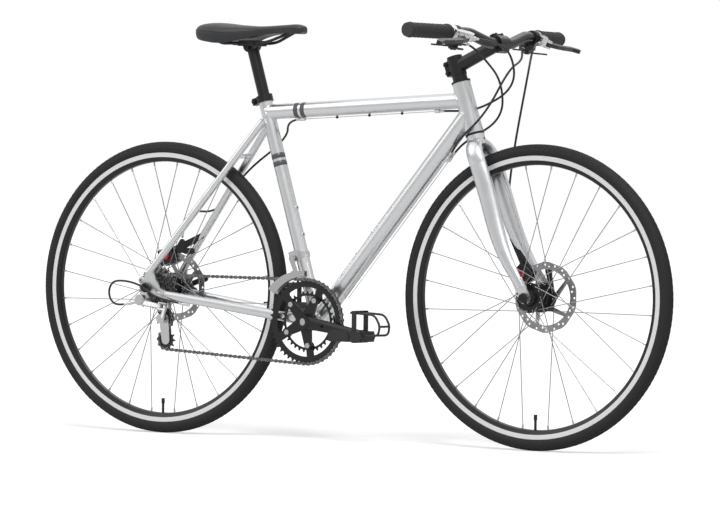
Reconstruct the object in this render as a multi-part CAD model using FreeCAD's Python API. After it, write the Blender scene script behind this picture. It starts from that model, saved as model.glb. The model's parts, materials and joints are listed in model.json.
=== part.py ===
"""Hybrid bicycle in millimetres: +X forward, +Y to the rider's left, +Z up.

The origin is on the ground midway between the two wheel axles.
Each named node is written to its own STEP file in the folder parts.
"""
import FreeCAD, Part
import math
import os

os.makedirs("parts", exist_ok=True)
V = FreeCAD.Vector

# Layout of the frame
WHEELBASE = 1012.0
TYRE_RADIUS = 342.0
CHAINSTAY_LENGTH = 436.5
BRACKET_DROP = 69.0
HEAD_ANGLE = 72.0
SEAT_ANGLE = 73.3
FORK_RAKE = 46.0
CROWN_ROOM = 53.0
HEAD_TUBE_LENGTH = 119.0
SEAT_TUBE_LENGTH = 540.0

# Tube radii
HEAD_TUBE_RADIUS = 21.0
TOP_TUBE_RADIUS = 17.5
DOWN_TUBE_RADIUS = 21.0
SEAT_TUBE_RADIUS = 15.9
SEATSTAY_RADIUS = 8.5
SHELL_RADIUS = 21.0
SHELL_WIDTH = 68.0
TUBE_WALL = 2.0

# Where the main tubes meet
TOP_TUBE_BELOW_SEAT_TOP = 37.0
TOP_TUBE_BELOW_HEAD_TOP = 41.0
DOWN_TUBE_ABOVE_HEAD_END = 46.0

# Hubs and wheels
REAR_HUB_WIDTH = 135.0
FRONT_HUB_WIDTH = 100.0
DROPOUT_PLATE = 6.0
TYRE_WIDTH = 31.0
TYRE_WALL = 2.6
TYRE_HEIGHT = 25.0
RIM_DEPTH = 21.0
SPOKE_COUNT = 28
SPOKE_CROSSES = 3
SPOKE_RADIUS = 1.0
FLANGE_HOLE_RADIUS = 30.0
ROTOR_RADIUS = 80.0
ROTOR_THICKNESS = 1.8
FRONT_ROTOR_INSET = 10.5
REAR_ROTOR_INSET = 15.3

# Drive
CHAIN_PITCH = 12.7
RING_TEETH = 48
SMALL_RING_TEETH = 34
COG_TEETH = (12, 13, 14, 15, 17, 19, 21, 23, 25)
CHAIN_COG = 3
COG_SPACING = 4.35
FIRST_COG_GAP = 5.6
PULLEY_TEETH = 11
CRANK_LENGTH = 170.0
CRANK_ANGLE = -9.0
BOLT_CIRCLE_RADIUS = 55.0
RING_SPACING = 6.6
CAGE_LENGTH = 50.0
CAGE_ANGLE = 4.0
GUIDE_AHEAD = 36.0
GUIDE_BELOW = 72.0

# Cockpit
STEM_LENGTH = 122.0
STEM_RISE = 7.0
STEM_HEIGHT = 40.0
SPACER_HEIGHT = 14.0
BAR_WIDTH = 668.0
BAR_END_RUN = 210.0
BAR_RISE = 19.0
BAR_SWEEP = 37.0
BAR_RADIUS = 12.7
BAR_END_RADIUS = 11.1
GRIP_LENGTH = 136.0
GRIP_RADIUS = 16.0
LEVER_REACH = 58.0

# Seat
SEATPOST_RADIUS = 13.6
SEATPOST_LENGTH = 330.0
SEATPOST_SHOWN = 118.0
SADDLE_LENGTH = 272.0
SADDLE_WIDTH = 146.0
RAIL_RADIUS = 3.5
RAIL_SPACING = 44.0

# Clearances
RUNNING_FIT = 0.08
PART_GAP = 0.4
CABLE_RADIUS = 2.5
WIRE_RADIUS = 0.8

# Points that follow from the sizes
REAR_X = -WHEELBASE / 2
FRONT_X = WHEELBASE / 2
AXLE_Z = TYRE_RADIUS
RIM_RADIUS = TYRE_RADIUS - TYRE_HEIGHT
FORK_LENGTH = TYRE_RADIUS + CROWN_ROOM
BRACKET_Z = AXLE_Z - BRACKET_DROP
BRACKET_X = REAR_X + math.sqrt(CHAINSTAY_LENGTH ** 2 - BRACKET_DROP ** 2)
HEAD = math.radians(HEAD_ANGLE)
SEAT = math.radians(SEAT_ANGLE)
UP = V(-math.cos(HEAD), 0, math.sin(HEAD))
AHEAD = V(math.sin(HEAD), 0, math.cos(HEAD))
POST_UP = V(-math.cos(SEAT), 0, math.sin(SEAT))
POST_AHEAD = V(math.sin(SEAT), 0, math.cos(SEAT))
SIDE = V(0, 1, 0)
STEER_FOOT = V(FRONT_X, 0, AXLE_Z) - AHEAD * FORK_RAKE
CUP_HEIGHT = 5.0
HEAD_END = FORK_LENGTH + CUP_HEIGHT
HEAD_TOP = HEAD_END + HEAD_TUBE_LENGTH
STEM_FOOT = HEAD_TOP + CUP_HEIGHT + SPACER_HEIGHT
STEERER_RADIUS = 14.3
HEAD_BORE = 17.0
BRACKET = V(BRACKET_X, 0, BRACKET_Z)


def steer(along, ahead=0.0, side=0.0):
    """Point given along the steering axis, ahead of it and to the left."""
    return STEER_FOOT + UP * along + AHEAD * ahead + SIDE * side


def post(along, ahead=0.0, side=0.0):
    """Point given along the seat tube axis, ahead of it and to the left."""
    return BRACKET + POST_UP * along + POST_AHEAD * ahead + SIDE * side


def unit(vector):
    """Copy of a vector with length one."""
    return vector * (1.0 / vector.Length)


def cylinder(start, end, radius):
    """Round bar between two points."""
    return Part.makeCylinder(radius, (end - start).Length, start, end - start)


def tube(start, end, radius, bore):
    """Round bar with a through bore."""
    return cylinder(start, end, radius).cut(cylinder(start, end, bore))


def cone(start, end, first, last):
    """Tapered round bar between two points."""
    return Part.makeCone(first, last, (end - start).Length, start, end - start)


def join(shapes):
    """One solid from shapes that overlap."""
    shapes = list(shapes)
    solid = shapes[0].fuse(shapes[1:]) if len(shapes) > 1 else shapes[0]
    return solid.removeSplitter()


def across(x, z, first, last, radius, bore=0.0):
    """Round bar or ring along Y between two Y values."""
    bar = cylinder(V(x, first, z), V(x, last, z), radius)
    if bore:
        bar = bar.cut(cylinder(V(x, first, z), V(x, last, z), bore))
    return bar


def spin(x, z, profile):
    """Solid turned about the Y axis through x, z from (y, radius) points."""
    points = [V(x, y, z + radius) for y, radius in profile]
    face = Part.Face(Part.makePolygon(points + [points[0]]))
    return face.revolve(V(x, 0, z), SIDE, 360)


def web(first, last, first_radius, last_radius, normal, thickness):
    """Flat link round two discs, centred on the plane of the two points."""
    normal = unit(normal)
    run = last - first
    run = run - normal * run.dot(normal)
    along = unit(run)
    wide = normal.cross(along)
    lean = math.acos((first_radius - last_radius) / run.Length)

    def rim(centre, radius, angle):
        return centre + along * (radius * math.cos(angle)) + wide * (radius * math.sin(angle))

    end = first + run
    edges = [
        Part.Arc(rim(first, first_radius, lean), rim(first, first_radius, math.pi),
                 rim(first, first_radius, -lean)).toShape(),
        Part.LineSegment(rim(first, first_radius, -lean), rim(end, last_radius, -lean)).toShape(),
        Part.Arc(rim(end, last_radius, -lean), rim(end, last_radius, 0),
                 rim(end, last_radius, lean)).toShape(),
        Part.LineSegment(rim(end, last_radius, lean), rim(first, first_radius, lean)).toShape(),
    ]
    face = Part.Face(Part.Wire(edges))
    face.translate(normal * (-thickness / 2))
    return face.extrude(normal * thickness)


def flat_web(first, last, first_radius, last_radius, y, thickness):
    """Flat link upright in X and Z, centred at y."""
    return web(V(first[0], y, first[1]), V(last[0], y, last[1]), first_radius, last_radius, SIDE, thickness)


def routed(points, share=0.45):
    """Edges of a path: straight runs joined by arcs that meet them smoothly."""
    edges = []
    start = points[0]
    least = 1e9
    for index in range(1, len(points) - 1):
        corner = points[index]
        before = corner - points[index - 1]
        after = points[index + 1] - corner
        cut = share * min(before.Length, after.Length)
        turn = before.getAngle(after)
        if turn < 0.01:
            continue
        radius = cut / math.tan(turn / 2)
        least = min(least, radius)
        enter = corner - unit(before) * cut
        leave = corner + unit(after) * cut
        inward = unit(unit(after) - unit(before))
        middle = corner + inward * (radius / math.cos(turn / 2) - radius)
        edges.append(Part.LineSegment(start, enter).toShape())
        edges.append(Part.Arc(enter, middle, leave).toShape())
        start = leave
    edges.append(Part.LineSegment(start, points[-1]).toShape())
    return edges, least


def rod(points, radius, share=0.45):
    """Round rod along a routed path."""
    edges, least = routed(points, share)
    path = Part.Wire(edges)
    circle = Part.Wire(Part.Circle(points[0], points[1] - points[0], radius).toShape())
    solid = path.makePipeShell([circle], True, False)
    ratio = solid.Volume / (math.pi * radius ** 2 * path.Length)
    if abs(ratio - 1) > 0.01 or not solid.isValid():
        raise ValueError("rod is not sound, volume ratio %.3f" % ratio)
    return solid


def housing(name, points, radius):
    """Cable run, with its length and least bend radius printed."""
    edges, least = routed(points)
    length = Part.Wire(edges).Length
    print("%s: length %.0f, least bend radius %.0f" % (name, length, least))
    return rod(points, radius)


def oval(centre, long_axis, short_axis, long_half, short_half):
    """Ellipse wire."""
    long_axis = unit(long_axis)
    short_axis = unit(short_axis)
    curve = Part.Ellipse(centre + long_axis * long_half, centre + short_axis * short_half, centre)
    return Part.Wire(curve.toShape())


def loft(wires, ruled=False):
    """Solid through closed wires."""
    return Part.makeLoft(wires, True, ruled)


def block(centre, along, wide, size):
    """Box with its middle at a point, its first two edges along two axes."""
    along = unit(along)
    wide = unit(wide)
    high = along.cross(wide)
    corner = centre - along * (size[0] / 2) - wide * (size[1] / 2) - high * (size[2] / 2)
    outline = [corner, corner + along * size[0], corner + along * size[0] + wide * size[1],
               corner + wide * size[1], corner]
    return Part.Face(Part.makePolygon(outline)).extrude(high * size[2])


def mirrored(shape):
    """The same shape on the other side of the bicycle."""
    return shape.mirror(V(0, 0, 0), SIDE)


def solids(shapes):
    """Flat list of the solids in some shapes."""
    found = []
    for shape in shapes:
        found.extend(shape.Solids)
    return found


def save(name, shapes):
    """Write one node."""
    found = solids(shapes)
    body = found[0] if len(found) == 1 else Part.makeCompound(found)
    body.exportStep("parts/%s.step" % name)
    print("%s: %d solids, %.0f mm3" % (name, len(found), sum(one.Volume for one in found)))


# Frame tubes
head_outer = cylinder(steer(HEAD_END), steer(HEAD_TOP), HEAD_TUBE_RADIUS)
head_tube = head_outer.cut(cylinder(steer(HEAD_END), steer(HEAD_TOP), HEAD_BORE))
seat_outer = cylinder(post(0), post(SEAT_TUBE_LENGTH), SEAT_TUBE_RADIUS)
shell_outer = across(BRACKET_X, BRACKET_Z, -SHELL_WIDTH / 2, SHELL_WIDTH / 2, SHELL_RADIUS)
SEAT_BORE = SEATPOST_RADIUS + RUNNING_FIT
seat_tube = seat_outer.cut(cylinder(post(0), post(SEAT_TUBE_LENGTH), SEAT_BORE)).cut(shell_outer)
SHELL_BORE = 17.4
bracket_shell = shell_outer.cut(across(BRACKET_X, BRACKET_Z, -SHELL_WIDTH, SHELL_WIDTH, SHELL_BORE))
TOP_REAR = post(SEAT_TUBE_LENGTH - TOP_TUBE_BELOW_SEAT_TOP)
TOP_FRONT = steer(HEAD_TOP - TOP_TUBE_BELOW_HEAD_TOP)
top_outer = cylinder(TOP_REAR, TOP_FRONT, TOP_TUBE_RADIUS)
top_tube = tube(TOP_REAR, TOP_FRONT, TOP_TUBE_RADIUS, TOP_TUBE_RADIUS - TUBE_WALL)
top_tube = top_tube.cut(head_outer).cut(seat_outer)
DOWN_FRONT = steer(HEAD_END + DOWN_TUBE_ABOVE_HEAD_END)
down_tube = tube(BRACKET, DOWN_FRONT, DOWN_TUBE_RADIUS, DOWN_TUBE_RADIUS - TUBE_WALL)
down_tube = down_tube.cut(head_outer).cut(shell_outer).cut(seat_outer).cut(top_outer)
TOP_RUN = unit(TOP_FRONT - TOP_REAR)
DOWN_RUN = unit(DOWN_FRONT - BRACKET)
DOWN_OVER = V(-DOWN_RUN.z, 0, DOWN_RUN.x)
TOP_OVER = V(-TOP_RUN.z, 0, TOP_RUN.x)

# Rear stays and dropouts
DROP_IN = REAR_HUB_WIDTH / 2
DROP_MID = DROP_IN + DROPOUT_PLATE / 2
STAY_SIDE = DROP_IN + 0.5
CHAINSTAY_END = V(REAR_X + 30, -STAY_SIDE, AXLE_Z - 14)
CHAINSTAY_START = V(BRACKET_X - 10, -22, BRACKET_Z + 1)
SEATSTAY_END = V(REAR_X + 2, -STAY_SIDE, AXLE_Z + 34)
SEATSTAY_TOP = post(SEAT_TUBE_LENGTH - 56, -8, -16)


def chainstay():
    """Right chainstay, tall and narrow, tapering to the dropout."""
    run = unit(CHAINSTAY_END - CHAINSTAY_START)
    wide = unit(run.cross(V(0, 0, 1)))
    high = wide.cross(run)
    wires = [oval(CHAINSTAY_START, high, wide, 12.5, 8.0), oval(CHAINSTAY_END, high, wide, 9.5, 7.5)]
    return loft(wires, True).cut(shell_outer).cut(seat_outer)


def seatstay():
    """Right seatstay."""
    return cylinder(SEATSTAY_END, SEATSTAY_TOP, SEATSTAY_RADIUS).cut(seat_outer).cut(top_outer)


HANGER = (REAR_X - 9, AXLE_Z - 29)


REAR_EYELET = (REAR_X - 17, AXLE_Z + 17)


def dropout(with_hanger):
    """Right dropout plate with its axle slot, fender eyelet and, if asked, the derailleur hanger."""
    axle = (REAR_X, AXLE_Z)
    pieces = [
        flat_web(axle, (CHAINSTAY_END.x + 12, CHAINSTAY_END.z + 1), 15, 9.5, -DROP_MID, DROPOUT_PLATE),
        flat_web(axle, (SEATSTAY_END.x + 6, SEATSTAY_END.z + 8), 15, 8.5, -DROP_MID, DROPOUT_PLATE),
        flat_web((SEATSTAY_END.x + 4, SEATSTAY_END.z), (CHAINSTAY_END.x, CHAINSTAY_END.z + 4), 9, 9,
                 -DROP_MID, DROPOUT_PLATE),
        flat_web(axle, REAR_EYELET, 9, 6.5, -DROP_MID, DROPOUT_PLATE),
    ]
    if with_hanger:
        pieces.append(flat_web(axle, HANGER, 12, 10, -DROP_MID, DROPOUT_PLATE))
    plate = join(pieces)
    slot = flat_web(axle, (REAR_X + 16, AXLE_Z - 40), 5.1, 5.1, -DROP_MID, 40)
    if with_hanger:
        slot = flat_web(axle, (REAR_X + 18, AXLE_Z - 34), 5.1, 5.1, -DROP_MID, 40)
    plate = plate.cut(slot)
    plate = plate.cut(across(REAR_EYELET[0], REAR_EYELET[1], -DROP_IN - 20, -DROP_IN + 5, 2.5))
    if with_hanger:
        plate = plate.cut(across(HANGER[0], HANGER[1], -DROP_IN - 20, -DROP_IN + 5, 5.0))
    return plate


right_dropout = dropout(True)
left_dropout = mirrored(dropout(False))
right_chainstay = chainstay().cut(right_dropout)
left_chainstay = mirrored(chainstay()).cut(left_dropout)
right_seatstay = seatstay().cut(right_dropout)
left_seatstay = mirrored(seatstay()).cut(left_dropout)
STAY_RUN = unit(SEATSTAY_TOP - SEATSTAY_END)
BRIDGE_AT = 356.0
BRIDGE = SEATSTAY_END + STAY_RUN * BRIDGE_AT
bridge_outer = cylinder(V(BRIDGE.x, BRIDGE.y, BRIDGE.z), V(BRIDGE.x, -BRIDGE.y, BRIDGE.z), 7.0)
BRIDGE_AXIS = unit(V(-STAY_RUN.z, 0, STAY_RUN.x))
BRIDGE_MID = V(BRIDGE.x, 0, BRIDGE.z)
seat_bridge = bridge_outer.cut(right_seatstay).cut(left_seatstay)
seat_bridge = [one for one in seat_bridge.Solids if abs(one.CenterOfMass.y) < 3][0]
seat_bridge = seat_bridge.cut(cylinder(BRIDGE_MID - BRIDGE_AXIS * 12, BRIDGE_MID + BRIDGE_AXIS * 12, 3.0))
CHAIN_RUN = unit(CHAINSTAY_END - CHAINSTAY_START)
LOW = CHAINSTAY_START + CHAIN_RUN * 66
low_bridge = cylinder(V(LOW.x, LOW.y, LOW.z), V(LOW.x, -LOW.y, LOW.z), 6.0)
low_bridge = low_bridge.cut(right_chainstay).cut(left_chainstay)
low_bridge = [one for one in low_bridge.Solids if abs(one.CenterOfMass.y) < 3][0]

# Bottle bosses and cable stops
BOSS_RADIUS = 5.0
BOSS_BORE = 2.5
BOSS_HEIGHT = 2.0
SEAT_BOSSES = (204.0, 268.0)
DOWN_BOSSES = (190.0, 254.0)


def seat_boss(along):
    """Threaded boss on the front of the seat tube."""
    start = post(along, SEAT_BORE + 0.6)
    end = post(along, SEAT_TUBE_RADIUS + BOSS_HEIGHT)
    return tube(start, end, BOSS_RADIUS, BOSS_BORE)


def down_boss(along):
    """Threaded boss on top of the down tube."""
    start = BRACKET + DOWN_RUN * along + DOWN_OVER * (DOWN_TUBE_RADIUS - TUBE_WALL)
    end = BRACKET + DOWN_RUN * along + DOWN_OVER * (DOWN_TUBE_RADIUS + BOSS_HEIGHT)
    return tube(start, end, BOSS_RADIUS, BOSS_BORE)


for along in SEAT_BOSSES:
    seat_tube = seat_tube.cut(cylinder(post(along, SEAT_BORE - 3), post(along, 40), BOSS_RADIUS))
for along in DOWN_BOSSES:
    foot = BRACKET + DOWN_RUN * along
    down_tube = down_tube.cut(cylinder(foot + DOWN_OVER * 10, foot + DOWN_OVER * 40, BOSS_RADIUS))
bosses = [seat_boss(along).cut(cylinder(post(0), post(SEAT_TUBE_LENGTH), SEAT_BORE)) for along in SEAT_BOSSES]
bosses += [down_boss(along) for along in DOWN_BOSSES]

STOP_RADIUS = 4.0
TOP_STOP_DROP = TOP_TUBE_RADIUS + STOP_RADIUS - 0.5
DOWN_STOP_DROP = DOWN_TUBE_RADIUS + STOP_RADIUS - 0.5


def stop(centre, run, bore, length, wall):
    """Cable stop: a short drilled bar let into the wall of a tube."""
    run = unit(run)
    bar = tube(centre - run * (length / 2), centre + run * (length / 2), STOP_RADIUS, bore)
    return bar.cut(wall)


def under_top(along, side):
    """Point on the line of the brake wire, below the top tube and a little right of its middle."""
    return TOP_REAR + TOP_RUN * along - TOP_OVER * TOP_STOP_DROP + SIDE * side


def under_down(along, side):
    """Point on the line of a shift wire, below the down tube."""
    return BRACKET + DOWN_RUN * along - DOWN_OVER * DOWN_STOP_DROP + SIDE * side


TOP_SPAN = (TOP_FRONT - TOP_REAR).Length
DOWN_SPAN = (DOWN_FRONT - BRACKET).Length
TOP_STOP_REAR = 96.0
TOP_STOP_FRONT = TOP_SPAN - 76.0
DOWN_STOP = DOWN_SPAN - 112.0
SHIFT_SIDE = 7.0
down_outer = cylinder(BRACKET, DOWN_FRONT, DOWN_TUBE_RADIUS)
WIRE_BORE = WIRE_RADIUS + 0.1
stops = [
    stop(under_top(TOP_STOP_REAR, 0), TOP_RUN, WIRE_BORE, 12, top_outer),
    stop(under_top(TOP_STOP_FRONT, 0), TOP_RUN, WIRE_BORE, 12, top_outer),
    stop(under_down(DOWN_STOP, SHIFT_SIDE), DOWN_RUN, WIRE_BORE, 14, down_outer),
    stop(under_down(DOWN_STOP, -SHIFT_SIDE), DOWN_RUN, WIRE_BORE, 14, down_outer),
]
STAY_STOP = CHAINSTAY_START + CHAIN_RUN * 322 + V(0, 0, -13.2)
stops.append(stop(STAY_STOP, CHAIN_RUN, WIRE_BORE, 16, chainstay()))
GUIDE_AT = SEATSTAY_END + STAY_RUN * 240
STAY_LEFT_RUN = unit(V(STAY_RUN.x, -STAY_RUN.y, STAY_RUN.z))
GUIDE_OUT = unit(SIDE - STAY_LEFT_RUN * STAY_LEFT_RUN.dot(SIDE))
GUIDE_LEFT = V(GUIDE_AT.x, -GUIDE_AT.y, GUIDE_AT.z) + GUIDE_OUT * (SEATSTAY_RADIUS + 3.0)
stay_guide = stop(GUIDE_LEFT, STAY_LEFT_RUN, CABLE_RADIUS + 0.1, 9, mirrored(seatstay()))
stops.append(stay_guide)

# Seat clamp
COLLAR_TOP = SEAT_TUBE_LENGTH + 3.0
COLLAR_FOOT = SEAT_TUBE_LENGTH - 13.0
collar = cylinder(post(COLLAR_FOOT), post(COLLAR_TOP), SEAT_TUBE_RADIUS + 3.5)
ears = block(post((COLLAR_FOOT + COLLAR_TOP) / 2, -SEAT_TUBE_RADIUS - 7), POST_AHEAD, SIDE, (15, 17, 16))
collar = join([collar, ears])
collar = collar.cut(cylinder(post(COLLAR_FOOT - 1), post(SEAT_TUBE_LENGTH), SEAT_TUBE_RADIUS))
collar = collar.cut(cylinder(post(COLLAR_FOOT - 1), post(COLLAR_TOP + 1), SEATPOST_RADIUS + RUNNING_FIT))
collar = collar.cut(block(post((COLLAR_FOOT + COLLAR_TOP) / 2, -SEAT_TUBE_RADIUS - 11), POST_AHEAD, SIDE,
                          (20, 2.4, 30)))
EAR = post((COLLAR_FOOT + COLLAR_TOP) / 2, -SEAT_TUBE_RADIUS - 9.5)
collar = collar.cut(cylinder(EAR - SIDE * 20, EAR + SIDE * 20, 2.6))
collar_bolt = join([cylinder(EAR - SIDE * 8, EAR + SIDE * 8.4, 2.5),
                    cylinder(EAR - SIDE * 13, EAR - SIDE * 8, 4.4)])

# Headset
lower_cup = tube(steer(FORK_LENGTH + PART_GAP), steer(HEAD_END), HEAD_TUBE_RADIUS + 1,
                 STEERER_RADIUS + RUNNING_FIT)
upper_cup = join([cylinder(steer(HEAD_TOP), steer(HEAD_TOP + CUP_HEIGHT - PART_GAP), HEAD_TUBE_RADIUS + 1)])
upper_cup = upper_cup.cut(cylinder(steer(HEAD_TOP), steer(HEAD_TOP + 20), STEERER_RADIUS + RUNNING_FIT))
low_bearing = tube(steer(HEAD_END), steer(HEAD_END + 8), HEAD_BORE, STEERER_RADIUS + RUNNING_FIT)
top_bearing = tube(steer(HEAD_TOP - 8), steer(HEAD_TOP), HEAD_BORE, STEERER_RADIUS + RUNNING_FIT)

# Fork
TYRE_ROOM = 8.0
steerer_top = STEM_FOOT + STEM_HEIGHT - 3
steerer = cylinder(steer(FORK_LENGTH - 6), steer(steerer_top), STEERER_RADIUS)
crown_top = cylinder(steer(FORK_LENGTH - 24), steer(FORK_LENGTH), HEAD_TUBE_RADIUS)
LEG_TOP = FORK_LENGTH - 70
LEG_SECTIONS = (
    (LEG_TOP, 8, 34.0, 21.0, 13.0),
    (LEG_TOP - 70, 11, 36.0, 21.5, 13.5),
    (LEG_TOP - 140, 12, 39.5, 20.5, 13.5),
    (LEG_TOP - 205, 18, 46.5, 17.5, 11.0),
    (LEG_TOP - 250, 28, 51.0, 14.5, 8.0),
    (26.0, 41, 53.0, 12.0, 5.5),
)


def leg_oval(along, ahead, side, long_half, short_half):
    """Section of the right fork leg."""
    return oval(steer(along, ahead, -side), AHEAD, SIDE, long_half, short_half)


def shoulder():
    """Right half of the fork crown, from the steerer out to the leg."""
    wires = [
        oval(steer(FORK_LENGTH - 14, 0, -4), AHEAD, SIDE - UP, 19, 13),
        oval(steer(FORK_LENGTH - 30, 3, -25), AHEAD, SIDE - UP * 0.55, 20, 13),
        oval(steer(LEG_TOP, 8, -34), AHEAD, SIDE, 21, 13),
    ]
    return loft(wires)


TYRE_SPACE = across(FRONT_X, AXLE_Z, -TYRE_WIDTH / 2 - 4, TYRE_WIDTH / 2 + 4, TYRE_RADIUS + TYRE_ROOM)
crown = join([steerer, crown_top, shoulder(), mirrored(shoulder())]).cut(TYRE_SPACE)
CROWN_HOLE = steer(FORK_LENGTH - 13)
crown = crown.cut(cylinder(CROWN_HOLE - AHEAD * 50, CROWN_HOLE + AHEAD * 50, 3.0))
crown = crown.cut(cylinder(steer(FORK_LENGTH - 40), steer(steerer_top), 11.5))
FRONT_DROP_IN = FRONT_HUB_WIDTH / 2
FRONT_DROP_MID = FRONT_DROP_IN + DROPOUT_PLATE / 2
FORK_EYELET = (FRONT_X - 19, AXLE_Z + 9)


def fork_leg():
    """Right fork leg with its dropout and fender eyelet."""
    leg = loft([leg_oval(*one) for one in LEG_SECTIONS])
    axle = (FRONT_X, AXLE_Z)
    top = steer(40, 38)
    plate = [
        flat_web(axle, (top.x, top.z), 14, 12.5, -FRONT_DROP_MID, DROPOUT_PLATE),
        flat_web(axle, FORK_EYELET, 8, 5.5, -FRONT_DROP_MID, DROPOUT_PLATE),
    ]
    whole = join([leg] + plate)
    foot = steer(-60, FORK_RAKE - 10)
    whole = whole.cut(flat_web(axle, (foot.x, foot.z), 4.6, 4.6, -FRONT_DROP_MID, 60))
    whole = whole.cut(across(FORK_EYELET[0], FORK_EYELET[1], -FRONT_DROP_MID - 20, -FRONT_DROP_IN + 5, 2.5))
    return whole.cut(across(FRONT_X, AXLE_Z, -FRONT_DROP_IN, FRONT_DROP_IN, 40))


right_leg = fork_leg()
left_leg = mirrored(right_leg)

# Stem, spacers and top cap
STEM_MID = STEM_FOOT + STEM_HEIGHT / 2
STEM_LEAN = math.radians(90 - HEAD_ANGLE + STEM_RISE)
STEM_RUN = V(math.cos(STEM_LEAN), 0, math.sin(STEM_LEAN))
STEM_OVER = V(-STEM_RUN.z, 0, STEM_RUN.x)
BAR_MID = steer(STEM_MID) + STEM_RUN * STEM_LENGTH
spacer = tube(steer(HEAD_TOP + CUP_HEIGHT), steer(STEM_FOOT), 17.0, STEERER_RADIUS)
stem_clamp = cylinder(steer(STEM_FOOT), steer(STEM_FOOT + STEM_HEIGHT), 18.5)
stem_back = block(steer(STEM_MID, -19), AHEAD, SIDE, (14, 20, 34))
stem_beam = loft([oval(steer(STEM_MID, 6), STEM_OVER, SIDE, 16, 15),
                  oval(BAR_MID - STEM_RUN * 16, STEM_OVER, SIDE, 15, 14)], True)
FACE_GAP = 1.2
bar_clamp = cylinder(BAR_MID - SIDE * 21, BAR_MID + SIDE * 21, BAR_RADIUS + 6)
bar_lugs = block(BAR_MID, STEM_RUN, SIDE, (10, 42, 44))
bar_hole = cylinder(BAR_MID - SIDE * 60, BAR_MID + SIDE * 60, BAR_RADIUS)
rear_half = block(BAR_MID - STEM_RUN * 50, STEM_RUN, SIDE, (100, 90, 90))
front_half = block(BAR_MID + STEM_RUN * (50 + FACE_GAP), STEM_RUN, SIDE, (100, 90, 90))
clamp_ring = join([bar_clamp, bar_lugs]).cut(bar_hole)
stem = join([stem_clamp, stem_back, stem_beam, clamp_ring.common(rear_half)])
stem = stem.cut(bar_hole)
stem = stem.cut(cylinder(steer(STEM_FOOT - 1), steer(STEM_FOOT + STEM_HEIGHT + 1), STEERER_RADIUS))
stem = stem.cut(block(steer(STEM_MID, -20), AHEAD, SIDE, (30, 2.2, 60)))
faceplate = clamp_ring.common(front_half)
face_bolts = []
for side in (-13, 13):
    for over in (-18.5, 18.5):
        seat = BAR_MID + SIDE * side + STEM_OVER * over
        hole = cylinder(seat - STEM_RUN * 30, seat + STEM_RUN * 30, 2.5)
        faceplate = faceplate.cut(hole)
        stem = stem.cut(cylinder(seat - STEM_RUN * 5, seat + STEM_RUN * 30, 2.5))
        face_bolts.append(join([cylinder(seat - STEM_RUN * 5, seat + STEM_RUN * 5, 2.5),
                                cylinder(seat + STEM_RUN * 5, seat + STEM_RUN * 9, 4.2)]))
pinch_bolts = []
for along in (-10, 10):
    seat = steer(STEM_MID + along, -22)
    stem = stem.cut(cylinder(seat - SIDE * 20, seat + SIDE * 20, 2.5))
    pinch_bolts.append(join([cylinder(seat - SIDE * 10, seat + SIDE * 10, 2.5),
                             cylinder(seat - SIDE * 14, seat - SIDE * 10, 4.2)]))
cap_foot = STEM_FOOT + STEM_HEIGHT
top_cap = join([cylinder(steer(cap_foot), steer(cap_foot + 4), 17.5),
                cylinder(steer(cap_foot + 4), steer(cap_foot + 6), 5.0)])

# Handlebar
BAR_FLAT = 48.0
BAR_BEND = BAR_WIDTH / 2 - BAR_END_RUN
BAR_END = V(BAR_MID.x - BAR_SWEEP, -BAR_WIDTH / 2, BAR_MID.z + BAR_RISE + 1)
BAR_KNEE = V(BAR_MID.x - 6, -BAR_BEND, BAR_MID.z + BAR_RISE)
BAR_OUT = unit(BAR_END - BAR_KNEE)


def on_bar(along):
    """Point on the right straight of the handlebar, measured inwards from its end."""
    return BAR_END - BAR_OUT * along


BAR_TAPER = GRIP_LENGTH + 54.0


def bar_solid(middle_radius, end_radius):
    """Whole handlebar as a solid bar."""
    half = [BAR_MID, BAR_MID - SIDE * BAR_FLAT, BAR_KNEE, on_bar(BAR_TAPER)]
    middle = rod(half, middle_radius, 0.4)
    taper = cone(on_bar(BAR_TAPER), on_bar(BAR_TAPER - 10), middle_radius, end_radius)
    end = cylinder(on_bar(BAR_TAPER - 10), BAR_END, end_radius)
    right = join([middle, taper, end])
    return join([right, mirrored(right)])


handlebar = bar_solid(BAR_RADIUS, BAR_END_RADIUS).cut(bar_solid(BAR_RADIUS - 2, BAR_END_RADIUS - 2))
GRIP_START = on_bar(GRIP_LENGTH)
grip = join([
    cylinder(GRIP_START, BAR_END, GRIP_RADIUS),
    cylinder(GRIP_START, on_bar(GRIP_LENGTH - 5), GRIP_RADIUS + 2),
    cylinder(BAR_END - BAR_OUT * 2, BAR_END + BAR_OUT * 3, GRIP_RADIUS - 0.5),
])
right_grip = grip.cut(cylinder(on_bar(GRIP_LENGTH + 5), BAR_END, BAR_END_RADIUS))

# Brake levers, on the right and mirrored
LEVER_DROP = math.radians(-24.0)
LEVER_AHEAD = V(math.cos(LEVER_DROP), 0, math.sin(LEVER_DROP))
LEVER_AHEAD = unit(LEVER_AHEAD - BAR_OUT * LEVER_AHEAD.dot(BAR_OUT))
LEVER_AXIS = unit(LEVER_AHEAD.cross(BAR_OUT))
LEVER_CLAMP = GRIP_LENGTH + 12.0


def at_lever(along, ahead, over=0.0):
    """Point by the lever clamp: outwards along the bar, ahead of it and over it."""
    return on_bar(LEVER_CLAMP) + BAR_OUT * along + LEVER_AHEAD * ahead + LEVER_AXIS * over


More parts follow.
